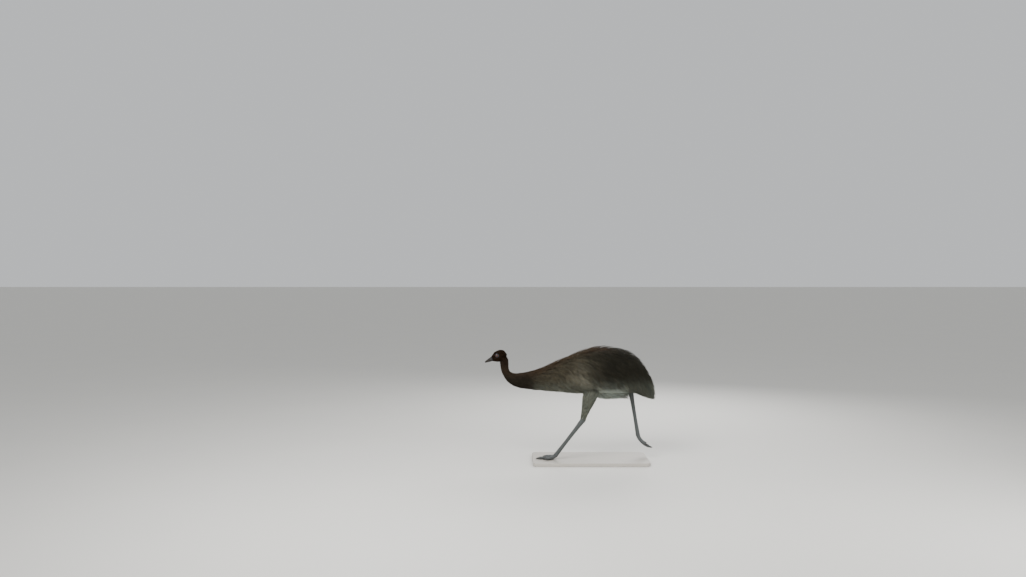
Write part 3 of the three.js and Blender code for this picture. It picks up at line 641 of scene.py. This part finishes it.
def tufts(name, rng, surface, u, v, style, tint, finish, slot, keep=None):
    """One mesh of tufts with roots at u, v.

    style gives, for each root or for all: length, depth of the roots, width of a strand, spread of the
    tuft, fall by its weight, and stand, how far the tip rises. For all it gives: turn aside, layer, which
    is how deep the lowest tips end as a share of the depth, strands of a tuft, rings of a strand, close,
    wave and loose for how the strands run together, and unwrap, the root's place on the UV map. to_bird
    brings points from the surface's frame to the bird's. keep chooses the tufts that stay."""
    count = len(u)
    varied = ("length", "depth", "width", "spread", "fall")
    full = {k: np.broadcast_to(np.asarray(style[k], float), count) for k in varied}
    length = full["length"] * rng.uniform(*TUFT_LENGTH, count)
    turn = rng.normal(0, style["turn"], count)
    end = style["layer"] * rng.random(count) ** 1.6
    depths = [full["depth"] * (end + (1 - end) * (1 - t) ** 2.2) - style["stand"] * t for t in STATIONS]
    path, out = lie(surface, u, v, length, full["fall"], turn, depths)
    if style.get("to_bird"):
        path = style["to_bird"](path)
        out = style["to_bird"](out) - style["to_bird"](np.zeros(3))
    if keep is not None:
        kept = keep(path)
        path, out, u, v = path[kept], out[kept], u[kept], v[kept]
        full = {k: a[kept] for k, a in full.items()}
        count = len(u)
    ahead = unit(np.gradient(path, axis=1))
    side = unit(np.cross(ahead, out))
    tuft = np.repeat(np.arange(count), style["strands"])
    total = len(tuft)
    aside = rng.uniform(-1, 1, total)
    lift = rng.uniform(-1, 1, total)
    size = rng.uniform(*STRAND_LENGTH, total)
    bend = rng.normal(0, 1, total)
    phase = rng.uniform(0, 2 * math.pi, total)
    roll = rng.normal(0, 0.4, total)
    width = full["width"][tuft] * rng.uniform(*STRAND_WIDTH, total)
    spread, deep = full["spread"][tuft], full["depth"][tuft]
    rings = style["rings"]
    shares = np.linspace(0, 1, rings + 1)
    broad = np.interp(shares, *STRAND_OUTLINE)
    points, colours = [], []
    root_tint = tint(path[:, 0])
    tip_tint = tint(path[:, -1])
    shade = rng.uniform(*STRAND_SHADE, (total, 1)) * rng.uniform(*TUFT_SHADE, (count, 1))[tuft]
    warm = 1 + rng.normal(0, 0.06, (total, 1)) * np.array([1, 0.2, -0.8])
    for share, wide in zip(shares, broad):
        t = share * size
        j = np.clip(np.searchsorted(STATIONS, t, side="right") - 1, 0, len(STATIONS) - 2)
        f = ((t - STATIONS[j]) / (STATIONS[j + 1] - STATIONS[j]))[:, None]
        p, o, s = (a[tuft, j] * (1 - f) + a[tuft, j + 1] * f for a in (path, out, side))
        s = unit(s)
        o = unit(o)
        draw_in = 1 - style["close"] * share
        wave = style["wave"] * spread * (np.sin(3 * share + phase) - np.sin(phase)) * share
        p = p + s * (aside * spread * draw_in + bend * spread * 0.5 * share ** 2 + wave)[:, None]
        p = p + o * (lift * deep * style["loose"] * (0.3 + share))[:, None]
        colour = root_tint[tuft] * (1 - share) + tip_tint[tuft] * share
        # Painted shade: each strand is darker at its root, deep in the coat
        colour = colour * shade * warm * (ROOT_PAINTED_SHADE + TIP_LIGHTER * share)
        if wide == 0:
            points.append(p[:, None])
            colours.append(colour[:, None])
            continue
        s, o = (s * np.cos(roll)[:, None] + o * np.sin(roll)[:, None],
                o * np.cos(roll)[:, None] - s * np.sin(roll)[:, None])
        half = (width * wide / 2)[:, None]
        points.append(np.stack([p + s * half, p - s * half, p + o * half * 0.8], 1))
        colours.append(np.repeat(colour[:, None], 3, 1))
    points = np.concatenate(points, 1)
    colours = np.concatenate(colours, 1)
    per = points.shape[1]
    faces = strand_faces(rings)[None] + (np.arange(total) * per)[:, None, None]
    root_uv = np.stack(style["unwrap"](u, v), -1)[tuft]
    across = np.tile([-0.5, 0.5, 0], rings + 1)[:per]
    across[-1] = 0
    lengthwise = np.repeat(shares, 3)[:per] - 0.5
    uv = root_uv[:, None] + np.stack([across, lengthwise], -1)[None] * UV_PATCH
    made = mesh_object(
        name, points.reshape(-1, 3), [faces.reshape(-1, 3)],
        tint=np.clip(colours.reshape(-1, 3), 0, 1), uv=uv.reshape(-1, 2),
    )
    return piece_of(made, finish, slot)


def in_margin(x):
    """A share of the UV map's side, kept off its edges."""
    return 0.02 + 0.96 * x


def unwrapped(share, v):
    return in_margin(share), in_margin((v / (2 * math.pi) + 0.5) % 1)


def body_unwrap(u, v):
    return unwrapped(np.clip(u, 0, LAST + 1) / (LAST + 1), v)


BODY_SURFACE = Surface(body_point, body_middle)


def tuft_length(u):
    return 24 + 14 * smoothstep(1.5, 4, u) + 112 * smoothstep(4, 10, u)


def strand_width(u):
    return 1.3 + smoothstep(3, 10, u)


def trunk_style(u, v, quick):
    """How tufts grow on neck and trunk: short on the neck, long and falling on the trunk, shorter at the
    tail's end and ruffled on top of the back."""
    tail = smoothstep(13.5, LAST, u)
    ruffled = np.exp(-((u - 12) ** 2)) * smoothstep(1.2, 0.3, np.abs(v))
    return {
        "length": tuft_length(u) * (1 - 0.72 * tail),
        "depth": skin_inset(u) + 1.5,
        "width": strand_width(u),
        "spread": 2.5 + 8.5 * trunkness(u),
        "fall": 0.1 + 0.85 * smoothstep(4.5, 9.5, u),
        "stand": 1.5 + 16 * ruffled + 5 * smoothstep(2.2, 0.2, u),
        "turn": 0.14, "layer": 0.4, "close": 0.45, "wave": 0.12, "loose": 0.05,
        "strands": QUICK_STRANDS if quick else STRANDS,
        "rings": 4 if u.mean() > 7 else 3 if u.mean() > 3 else 2,
        "unwrap": body_unwrap,
    }


# The coat's pieces from the head to the tail, each with the station where it ends
COAT_ENDS = {
    "neck_top": 3.0, "neck_middle": 5.6, "neck_base": 8.2, "shoulder": 9.6, "flank_front": 10.8,
    "back_front": 12.0, "back_middle": 13.2, "rump": 14.6, "tail": LAST,
}


def grow_body(quick):
    """The coat of neck and trunk."""
    rng = np.random.default_rng(5)

    def density(u, v):
        layers = 8.5 + 4 * smoothstep(4, 9, u)
        return layers / (tuft_length(u) * strand_width(u)) / STRANDS * (0.5 if quick else 1)

    u, v = roots_over(BODY_SURFACE, rng, (-0.5, LAST - 0.3), density)
    low = -math.inf
    for name, high in COAT_ENDS.items():
        chosen = (u >= low) & (u < high)
        style = trunk_style(u[chosen], v[chosen], quick)
        tufts("coat_" + name, rng, BODY_SURFACE, u[chosen], v[chosen], style, markings, FEATHER, "coat")
        low = high


def grow_thigh(side):
    """Tufts over a thigh, below a ragged line where the trunk's coat covers it. Gives the skin's rows."""
    rows = joined(LEGS[side]["knee"], LEGS[side]["hock"], THIGH_LINE)
    surface = Surface(lambda u, v, inset: limb_point(rows, u, v, inset), lambda u: along(rows[:, :3], u))
    rng = np.random.default_rng({"left": 8, "right": 9}[side])
    layers, length, width, strands = 10, 52, 1.8, 6
    u, v = roots_over(
        surface, rng, (0.05, 4.9), lambda u, v: np.full_like(u, layers / (length * width) / strands),
    )
    # Fluff hangs below the thigh that is swung back
    hang = smoothstep(0.1, 0.9, -np.sin(v)) * smoothstep(0.6, 1.5, u) * smoothstep(4.9, 4.0, u)
    hang = hang * (side == "right")
    style = {
        "length": 34 + 52 * smoothstep(4.9, 0.5, u) + 48 * hang,
        "depth": np.maximum(THIGH_COAT - 2.6 * u, 4),
        "width": 1.9 - 0.12 * u,
        "spread": 7.5 - u,
        "fall": 0.25 + 0.75 * hang,
        "stand": 40 * hang,
        "turn": 0.16, "layer": 0.35, "close": 0.45, "wave": 0.12, "loose": 0.06,
        "strands": strands, "rings": 3,
        "unwrap": lambda u, v: unwrapped(u / 6, v),
    }
    hem, ragged = 545, 32

    def below_hem(path):
        return path[:, 0, 2] + rng.uniform(-ragged, ragged, len(path)) < hem

    tufts("coat_thigh_" + side, rng, surface, u, v, style, markings, FEATHER, "coat", keep=below_hem)
    inner = rows.copy()
    inner[:, 3:5] -= np.interp(np.arange(6), [0, 4, 5], [THIGH_COAT, THIGH_COAT * 0.5, 3])[:, None]
    return inner


def limb_tube(name, rows, sides, steps):
    t = np.linspace(0, len(rows) - 1, steps)[:, None]
    v = np.linspace(0, 2 * math.pi, sides, endpoint=False)[None, :]
    return tube(name, limb_point(rows, t + 0 * v, v + 0 * t))


def wing_place(side, share):
    """Station and angle of a wing's middle line."""
    u = WING["from"] + (WING["to"] - WING["from"]) * share
    return u, side * np.radians(WING["angle"] + WING["droop"] * share)


def wing_rows(side):
    """Rows of a wing's skin, under its coat."""
    made = []
    for share, inset, thick, wide in WING_LINE:
        u, v = wing_place(side, share)
        at = body_point(np.array(u), np.array(v), float(inset + WING_SKIN["deeper"]))
        made.append([*at, thick * WING_SKIN["thick"], wide * WING_SKIN["wide"]])
    return np.array(made)


def grow_wing(side, name, quick):
    """Tufts over a wing, which lie as the trunk's do. Gives the rows of its skin."""
    rng = np.random.default_rng(14 + side)
    share = rng.uniform(-0.1, 1, QUICK_WING_TUFTS if quick else WING_TUFTS)
    u, v = wing_place(side, share)
    v = v + rng.normal(0, 0.07, len(share))
    style = trunk_style(u, v, quick)
    style.update({"length": 100, "depth": 16 - 8 * share, "layer": 0.3, "stand": 4})
    tufts("coat_" + name, rng, BODY_SURFACE, u, v, style, markings, FEATHER, "coat")
    return wing_rows(side)


# Head

def eye_gap(x, z):
    """Below 1 between the lids, in the head's frame."""
    lobes = [((x - EYE[0]) / LID["long"]) ** 2 + ((z - EYE[2] + lift) / LID["high"]) ** 2
             for lift in (LID["apart"], -LID["apart"])]
    return np.maximum(*lobes)


def head_skin_point(t, v):
    """The skin of the head: the skull with its lids, ears, brows, cheeks and the line of the mouth."""
    p = head_point(t, v, SKIN_DEPTH)
    x, y, z = p[..., 0], p[..., 1], p[..., 2]
    side = np.where(y < 0, -1.0, 1.0)
    middle = np.stack([x, 0 * x, z * 0 + along(HEAD, t)[..., 1]], -1)
    out = unit(p - middle)
    lateral = np.clip(np.abs(out[..., 1]), 0, 1)
    # Brow above the eye, hollow in front of it, cheek below
    brow = np.exp(-(((x - 6) / 15) ** 2) - ((z - 22) / 5) ** 2) * lateral
    lore = np.exp(-(((x - 28) / 9) ** 2) - ((z - 2) / 8) ** 2) * lateral
    cheek = np.exp(-(((x + 8) / 18) ** 2) - ((z + 17) / 8) ** 2) * lateral
    crown = np.exp(-((z - 36) / 8) ** 2)
    lift = 1.8 * brow - 2.2 * lore + 1.2 * cheek - 0.8 * crown
    # Ear
    far = np.hypot(x - EAR["x"], z - EAR["z"])
    lift = lift + 1.5 * np.exp(-((far - EAR["rim"]) / 1.7) ** 2) * lateral
    lift = lift - EAR["deep"] * smoothstep(EAR["hole"] + 1.3, EAR["hole"] - 1.8, far) * lateral
    # Line of the mouth, from the bill back under the eye
    line = MOUTH_Z + 0.018 * (x - 20) - 3.5 * smoothstep(22, 2, x)
    groove = np.exp(-((z - line) / 1.0) ** 2) * smoothstep(-2, 8, x) * lateral
    fold = np.exp(-((z - line - 2.6) / 1.4) ** 2) * smoothstep(-4, 8, x) * lateral
    lift = lift - 2.0 * groove + 0.5 * fold
    p = p + out * lift[..., None]
    # Lids over the eye
    eye = np.stack([np.full_like(x, EYE[0]), side * EYE[1], np.full_like(x, EYE[2])], -1)
    off = p - eye
    far = np.linalg.norm(off, axis=-1)
    outward = smoothstep(-2, 6, off[..., 1] * side)
    gap = eye_gap(p[..., 0], p[..., 2])
    lid = EYE_R + LID["thick"]
    blend = 2.5
    softer = 0.5 * (far + lid + np.sqrt((far - lid) ** 2 + blend ** 2)) - 0.25 * blend
    wanted = far + (np.maximum(softer, far) - far) * outward * smoothstep(24, 15, far)
    hidden = EYE_R - 2.5
    open_share = smoothstep(1.06, 0.9, gap) * outward * smoothstep(20, 16, far)
    wanted = wanted * (1 - open_share) + hidden * open_share
    return eye + unit(off) * wanted[..., None]


def head_skin():
    """The head's skin from the back of the skull to just inside the bill."""
    t = np.concatenate([
        np.linspace(0.02, 2, 50),
        np.linspace(2, 5, 110)[1:],
        np.linspace(5, BILL_ROW + 0.04, 34)[1:],
    ])[:, None]
    v = np.linspace(0, 2 * math.pi, 180, endpoint=False)[None, :]
    return tube("skin_head", head_to_bird(head_skin_point(t + 0 * v, v + 0 * t)))


def lid_rim(side):
    """The edge of the lids, a thin round rim along the eye's opening."""
    count, sides = 72, 12
    a = np.linspace(0, 2 * math.pi, count, endpoint=False)
    dx, dz = np.cos(a), np.sin(a)
    reach = np.full(count, np.inf)
    for lift in (LID["apart"], -LID["apart"]):
        qa = (dx / LID["long"]) ** 2 + (dz / LID["high"]) ** 2
        qb = 2 * dz * lift / LID["high"] ** 2
        qc = (lift / LID["high"]) ** 2 - 1
        reach = np.minimum(reach, (-qb + np.sqrt(qb * qb - 4 * qa * qc)) / (2 * qa))
    flat = np.minimum(reach, EYE_R * 0.985)
    shell = EYE_R + 0.5
    up = np.sqrt(np.maximum(shell ** 2 - flat ** 2, 0.5))
    line = np.stack([EYE[0] + flat * dx, side * (EYE[1] + up), EYE[2] + flat * dz], -1)
    eye = np.array([EYE[0], side * EYE[1], EYE[2]])
    out = unit(line - eye)
    ahead = unit(np.roll(line, -1, 0) - np.roll(line, 1, 0))
    across = np.cross(ahead, out)
    b = np.linspace(0, 2 * math.pi, sides, endpoint=False)[None, :, None]
    flatter, thinner = 1.25, 0.9
    rings = line[:, None] + LID["rim"] * (
        across[:, None] * np.cos(b) * flatter + out[:, None] * np.sin(b) * thinner)
    i = np.arange(count)[:, None] * sides
    i2 = np.roll(np.arange(count), -1)[:, None] * sides
    j = np.arange(sides)
    k = (j + 1) % sides
    quads = np.stack([i + j, i + k, i2 + k, i2 + j], -1).reshape(-1, 4)
    if side < 0:
        quads = quads[:, ::-1]
    return mesh_object("lid", head_to_bird(rings.reshape(-1, 3)), [quads])


def bill(name, low, high):
    """A half of the bill with its nostrils, ridge and seams, between two heights of the head's frame."""
    t = np.linspace(BILL_ROW - 0.05, len(HEAD) - 1.001, 90)[:, None]
    v = np.linspace(0, 2 * math.pi, 96, endpoint=False)[None, :]
    p = head_point(t + 0 * v, v + 0 * t)
    x, y, z = p[..., 0], p[..., 1], p[..., 2]
    far = np.hypot((x - NOSTRIL["x"]) / NOSTRIL["long"], (z - NOSTRIL["z"]) / NOSTRIL["high"])
    rim = np.exp(-((far - 1.35) / 0.35) ** 2)
    hole = smoothstep(1.1, 0.6, far)
    inward = 0.5 * rim - NOSTRIL["deep"] * hole
    above = z > along(HEAD, t)[..., 1]
    ridge = np.exp(-((v / 0.28) ** 2)) + np.exp(-(((v - 2 * math.pi) / 0.28) ** 2))
    widest = np.abs(y).max(1, keepdims=True)
    seam = np.exp(-((np.abs(y) - 0.55 * widest) / 1.1) ** 2) * above
    y = y + np.sign(y) * inward * (np.abs(y) > 3)
    z = z + 0.5 * ridge * above - 0.35 * seam * smoothstep(56, 62, x)
    z = np.clip(z, low, high)
    return tube(name, head_to_bird(np.stack([x, y, z], -1)))


def grow_head():
    """The head's short coat. Its surface runs from the bill, u = 0, to the back of the skull, u = 1."""
    rng = np.random.default_rng(31)

    def row(u):
        return BILL_ROW * (1 - u)

    surface = Surface(
        lambda u, v, inset: head_point(row(u), v, inset - HEAD_COAT),
        lambda u: np.stack([along(HEAD, row(u))[..., 0], 0 * u, along(HEAD, row(u))[..., 1]], -1),
    )

    def density(u, v):
        x, y, z = np.moveaxis(head_point(row(u), v), -1, 0)
        face = smoothstep(-10, 22, x) * (1 - smoothstep(20, 32, z))
        pole = 1 + 3 * smoothstep(0.94, 1, u)
        return 0.31 * (1 - 0.35 * face) * (1 - bareness(x, y, z)) * pole

    u, v = roots_over(surface, rng, (0.02, 0.998), density, cells=(160, 120))
    x = along(HEAD, row(u))[..., 0]
    under = smoothstep(0.2, 0.9, -np.cos(v))
    shaggy = smoothstep(15, -45, x)
    throat = under * smoothstep(48, 20, x) * smoothstep(-62, -40, x)
    forehead = smoothstep(0.3, 0.9, np.cos(v)) * np.exp(-(((x - 26) / 16) ** 2))
    pole = smoothstep(0.93, 0.99, u)
    split_x = -12
    for name, chosen in (("face", x > split_x), ("skull", x <= split_x)):
        s, t, f, p = (a[chosen] for a in (shaggy, throat, forehead, pole))
        style = {
            "length": (6 + 16 * s + 16 * t + 4 * f) * (1 - 0.35 * p),
            "depth": 3.2 + 0.8 * s,
            "width": 0.85,
            "spread": 1.2 + 0.6 * s,
            "fall": 1.5 * smoothstep(-5, -50, x[chosen]) * (1 - p) + 0.9 * t,
            "stand": 1 + 5 * s * (1 - p) + 14 * t + 4 * f,
            "turn": 0.22, "layer": 0.5, "close": 0.3, "wave": 0.15, "loose": 0.12,
            "strands": 4, "rings": 2,
            "unwrap": unwrapped, "to_bird": head_to_bird,
        }
        tufts("coat_head_" + name, rng, surface, u[chosen], v[chosen], style,
              lambda p: np.broadcast_to(HEAD_TONE, p.shape), HEAD_FEATHER, "head_coat")


def eye_piece(side, name):
    """An eyeball that looks aside and a little ahead, with a round cornea, dark pupil and brown iris."""
    middle = np.array([EYE[0], side * EYE[1], EYE[2]])
    gaze = unit(np.array([0.16, side, 0.02]))
    rings, sides = 40, 64
    a = np.linspace(0.01, math.pi - 0.01, rings)[:, None]
    b = np.linspace(0, 2 * math.pi, sides, endpoint=False)[None, :]
    first = unit(np.cross(gaze, UP))
    second = np.cross(gaze, first)
    way = (gaze * np.cos(a)[..., None] + first * (np.sin(a) * np.cos(b))[..., None]
           + second * (np.sin(a) * np.sin(b))[..., None])
    radius = EYE_R + 0.35 * np.exp(-(a / 0.5) ** 2)
    made = tube("eyeball_" + name, head_to_bird(middle + way * radius[..., None]))
    angle = np.concatenate([np.repeat(a.ravel(), sides), [0, math.pi]])
    angle = angle + 0.02 * np.sin(np.concatenate([np.tile(b.ravel(), rings) * 9, [0, 0]]))
    past_pupil = smoothstep(0.44, 0.48, angle)
    past_iris = smoothstep(0.86, 0.92, angle)
    ring = np.exp(-((angle - 0.86) / 0.1) ** 2)[:, None]
    glow = np.exp(-((angle - 0.55) / 0.1) ** 2)[:, None]
    iris = IRIS_TONE * (1 - 0.5 * ring) + IRIS_GLOW * glow * 0.5
    paint(made.data, blended(blended(PUPIL_TONE, iris, past_pupil), EYE_EDGE_TONE, past_iris))
    return made


def bareness(x, y, z):
    """Where the head is bare, from 0 to 1, in its own frame: by the bill, round the eye and the ear."""
    eye = smoothstep(18, 13.5, np.hypot(x - EYE[0], z - EYE[2])) * smoothstep(4, 12, np.abs(y))
    ear = smoothstep(9, 6.5, np.hypot(x - EAR["x"], z - EAR["z"])) * smoothstep(4, 12, np.abs(y))
    return 1 - (1 - eye) * (1 - ear) * smoothstep(50, 38, x)


def skin_tint(points):
    """Bare skin shows on the face; under the coat the skin is marked as the coat is and darkened as
    painted shade deep under the coat.
    """
    on_head = smoothstep(735, 765, points[:, 0])
    # Painted shade: head and body skin under the coat darker than the coat
    head = blended(HEAD_TONE * HEAD_UNDERCOAT_PAINTED_SHADE, FACE_TONE, bareness(*bird_to_head(points).T))
    return blended(markings(points) * UNDERCOAT_PAINTED_SHADE, head, on_head)


# Legs

def scaly(name, rows, sides, steps, raise_by, scute, from_share=0.0):
    """A limb with small scales behind, whose front carries overlapping scutes, each scute long."""
    t = np.linspace(0, len(rows) - 1, steps)
    middle = along(rows[:, :3], t)
    reach = np.concatenate([[0], np.cumsum(np.linalg.norm(np.diff(middle, axis=0), axis=-1))])
    v = np.linspace(0, 2 * math.pi, sides, endpoint=False)
    t, v, reach = t[:, None] + 0 * v[None], v[None] + 0 * t[:, None], reach[:, None] + 0 * v[None]
    front = smoothstep(0.15, 0.75, -np.sin(v))
    phase = (reach / scute) % 1
    saw = smoothstep(0, 0.75, phase) * smoothstep(1, 0.86, phase)
    begin = smoothstep(from_share, from_share + 0.08, reach / reach.max())
    behind = 0.25 * np.sin(v * sides / 5) * np.sin(reach / scute * 4.2) * (1 - front)
    lift = raise_by * (saw - 0.25) * front * begin + raise_by * behind
    return tube(name, limb_point(rows, t, v, -lift))


def toe_rows(side, toe):
    """Rows of a toe and of its claw, and how thick they are beside the middle toe's."""
    spread, size = TOES[toe]
    turn = (1 if side == "left" else -0.75) * spread
    fat = 0.55 + 0.45 * size
    p = TOE_PITCH[side]
    root, second = 22, 34
    joint = (MIDDLE_TOE * size - root - second) / 2
    rows = turning(LEGS[side]["toe_root"], turn, [
        [0, p[0], 15 * fat, 15 * fat],
        [root, p[1], 15 * fat, 14.5 * fat],
        [second, p[2], 14.5 * fat, 14 * fat],
        [joint, p[3], 13 * fat, 12.5 * fat],
        [joint, p[4], 9.5 * fat, 10 * fat],
    ])
    claw = turning(rows[-1, :3], turn, [
        [-6, p[5], 7.0 * fat, 7.4 * fat],
        [6, p[5], 7.6 * fat, 8.0 * fat],
        [13, p[5] - 4, 6 * fat, 6.5 * fat],
        [9, p[5] - 9, 4 * fat, 4 * fat],
        [7, p[5] - 14, 0.9 * fat, 1.0 * fat],
    ])
    return rows, claw, fat


def on_ground(piece):
    """Flattens a piece where it would go below the base's top."""
    points = points_of(piece)
    points[:, 2] = np.maximum(points[:, 2], GROUND)
    piece.data.vertices.foreach_set("co", in_part(points))
    piece.data.update()


def leg_tint(points, hock, toe_root, rng):
    """Grey, darker towards the ground and in the lines between the scutes of the shank's front."""
    length = np.linalg.norm(toe_root - hock)
    down = (toe_root - hock) / length
    reach = (points - hock) @ down
    off = unit(points - hock - reach[:, None] * down)
    front = smoothstep(0.1, 0.7, off @ unit(np.cross(down, Y)))
    phase = (reach / SCUTE) % 1
    line = np.maximum(smoothstep(0.84, 0.95, phase), smoothstep(0.12, 0.02, phase))
    share = reach / length
    on_shank = smoothstep(0.04, 0.1, share) * smoothstep(1, 0.94, share)
    # Darker towards the ground, within 40 mm of it
    near_ground = smoothstep(40, 0, points[:, 2])
    shade = (1 - 0.5 * line * front * on_shank) * (1 - 0.25 * near_ground)
    return LEG_TONE * shade[:, None] * rng.uniform(0.93, 1.07, (len(points), 1))


def build_leg(side):
    """The bare part of a leg from above the hock, with the foot, the toes and their claws."""
    leg = LEGS[side]
    knee, hock, toe_root = (np.array(leg[k], float) for k in ("knee", "hock", "toe_root"))
    # The bare skin starts inside the end of the feathered thigh
    thigh_end, tucked_in = 0.93, 14
    cuff = knee + (hock - knee) * thigh_end - unit(hock - knee) * tucked_in
    rows = joined(hock, toe_root, SHANK_LINE)
    shank = scaly("leg_" + side, rows, sides=48, steps=260, raise_by=1.7, scute=SCUTE, from_share=0.03)
    collar_rows = np.array([[*cuff, 15, 17], [*((cuff + hock) / 2), 17, 19], [*hock, 17, 20]])
    others = [
        limb_tube("collar", collar_rows, sides=32, steps=12),
        ball("knuckle", hock, (HOCK_R, HOCK_R - 3, HOCK_R)),
        ball("heel", toe_root, (17, 18, 17)),
    ]
    for toe in TOES:
        rows, claw, fat = toe_rows(side, toe)
        others.append(scaly("toe", rows, sides=36, steps=110, raise_by=1.3 * fat, scute=TOE_SCUTE))
        others.append(ball("toe_end", rows[-1, :3], np.full(3, 9.0 * fat), sides=24))
        nail = limb_tube("nail_" + side + "_" + toe, claw, sides=24, steps=30)
        on_ground(nail)
        piece_of(nail, CLAW, "claw", f"claw_{side}_{toe}")
    united(shank, others)
    on_ground(shank)
    paint(shank.data, leg_tint(points_of(shank), hock, toe_root, np.random.default_rng(3)))
    toes = [f"toe_{side}_{toe}" for toe in TOES]
    piece_of(shank, SCALE, "scale", f"shank_{side}", f"foot_{side}", *toes)


# Assembly

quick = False
grow_body(quick)
shells = []
for side in LEGS:
    shells.append(limb_tube("thigh_skin", grow_thigh(side), sides=40, steps=60))
for side, name in ((1, "wing_left"), (-1, "wing_right")):
    shells.append(limb_tube("wing_skin", grow_wing(side, name, quick), sides=24, steps=30))
grow_head()

stations = np.concatenate([np.linspace(0, 6, 40), np.linspace(6, LAST, 70)[1:]])
u, v = np.meshgrid(stations, np.linspace(0, 2 * math.pi, 72, endpoint=False), indexing="ij")
trunk = tube("skin", body_point(u, v, skin_inset(u)))
united(trunk, [head_skin(), *shells])
lids = [lid_rim(1), lid_rim(-1)]
with bpy.context.temp_override(active_object=trunk, selected_editable_objects=[trunk, *lids]):
    bpy.ops.object.join()
paint(trunk.data, skin_tint(points_of(trunk)))
piece_of(trunk, SKIN, "coat", "head", "neck_upper", "neck_middle", "neck_lower", "torso", "tail",
         "wing_left", "wing_right", "thigh_left", "thigh_right")

for side, name in ((1, "left"), (-1, "right")):
    piece_of(eye_piece(side, name), EYE_FINISH, "eye", "eye_" + name)
piece_of(bill("beak_upper", MOUTH_Z + HALF_GAPE, math.inf), BILL, "bill", "bill_upper")
piece_of(bill("beak_lower", -math.inf, MOUTH_Z - HALF_GAPE), BILL, "bill", "bill_lower")
for side in LEGS:
    build_leg(side)
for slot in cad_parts["stand_base"].material_slots:
    slot.material = PLINTH

# Floor, light and camera: metres in the part's frame

LIT = Vector((0, 0, 0.5))


def area_light(name, place, size, power):
    """A round soft light that shines at the bird."""
    light = bpy.data.lights.new(name, "AREA")
    light.shape = "DISK"
    light.size = size
    light.energy = power
    made = bpy.data.objects.new(name, light)
    made.location = place
    made.rotation_mode = "QUATERNION"
    made.rotation_quaternion = (LIT - Vector(place)).to_track_quat("-Z", "Y")
    bpy.context.scene.collection.objects.link(made)


FLOOR_REACH = 60
corners = [(x * FLOOR_REACH, y * FLOOR_REACH, 0) for x, y in ((-1, -1), (1, -1), (1, 1), (-1, 1))]
floor_mesh = bpy.data.meshes.new("floor")
floor_mesh.from_pydata(corners, [], [(0, 1, 2, 3)])
floor_mesh.materials.append(FLOOR)
floor = bpy.data.objects.new("floor", floor_mesh)
bpy.context.scene.collection.objects.link(floor)

area_light("key", (1.6, 2.6, 3.2), size=2.2, power=190)
area_light("fill", (-2.8, 2.4, 1.6), size=2.5, power=70)
area_light("rim", (-1.2, -3.0, 2.6), size=2.0, power=110)
world = bpy.data.worlds.new("studio")
world.use_nodes = True
background = world.node_tree.nodes["Background"]
background.inputs["Color"].default_value = (0.86, 0.88, 0.9, 1)
background.inputs["Strength"].default_value = 0.75
bpy.context.scene.world = world

# The photograph's view, for an image of 1026 by 577 pixels
IMAGE_WIDTH = 1026
FOCAL_PIXELS = 850
SENSOR = 36
CAMERA_PLACE = Vector((664 * MM, 6.49, 1454 * MM))
CAMERA_TILT_DOWN = 1.38
camera_data = bpy.data.cameras.new("camera")
camera_data.sensor_width = SENSOR
camera_data.lens = FOCAL_PIXELS / IMAGE_WIDTH * SENSOR
camera_data.clip_end = 200
camera = bpy.data.objects.new("camera", camera_data)
camera.location = CAMERA_PLACE + Vector(ORIGIN)
camera.rotation_mode = "XYZ"
camera.rotation_euler = (math.radians(90 - CAMERA_TILT_DOWN), 0, math.pi)
bpy.context.scene.collection.objects.link(camera)
bpy.context.scene.camera = camera
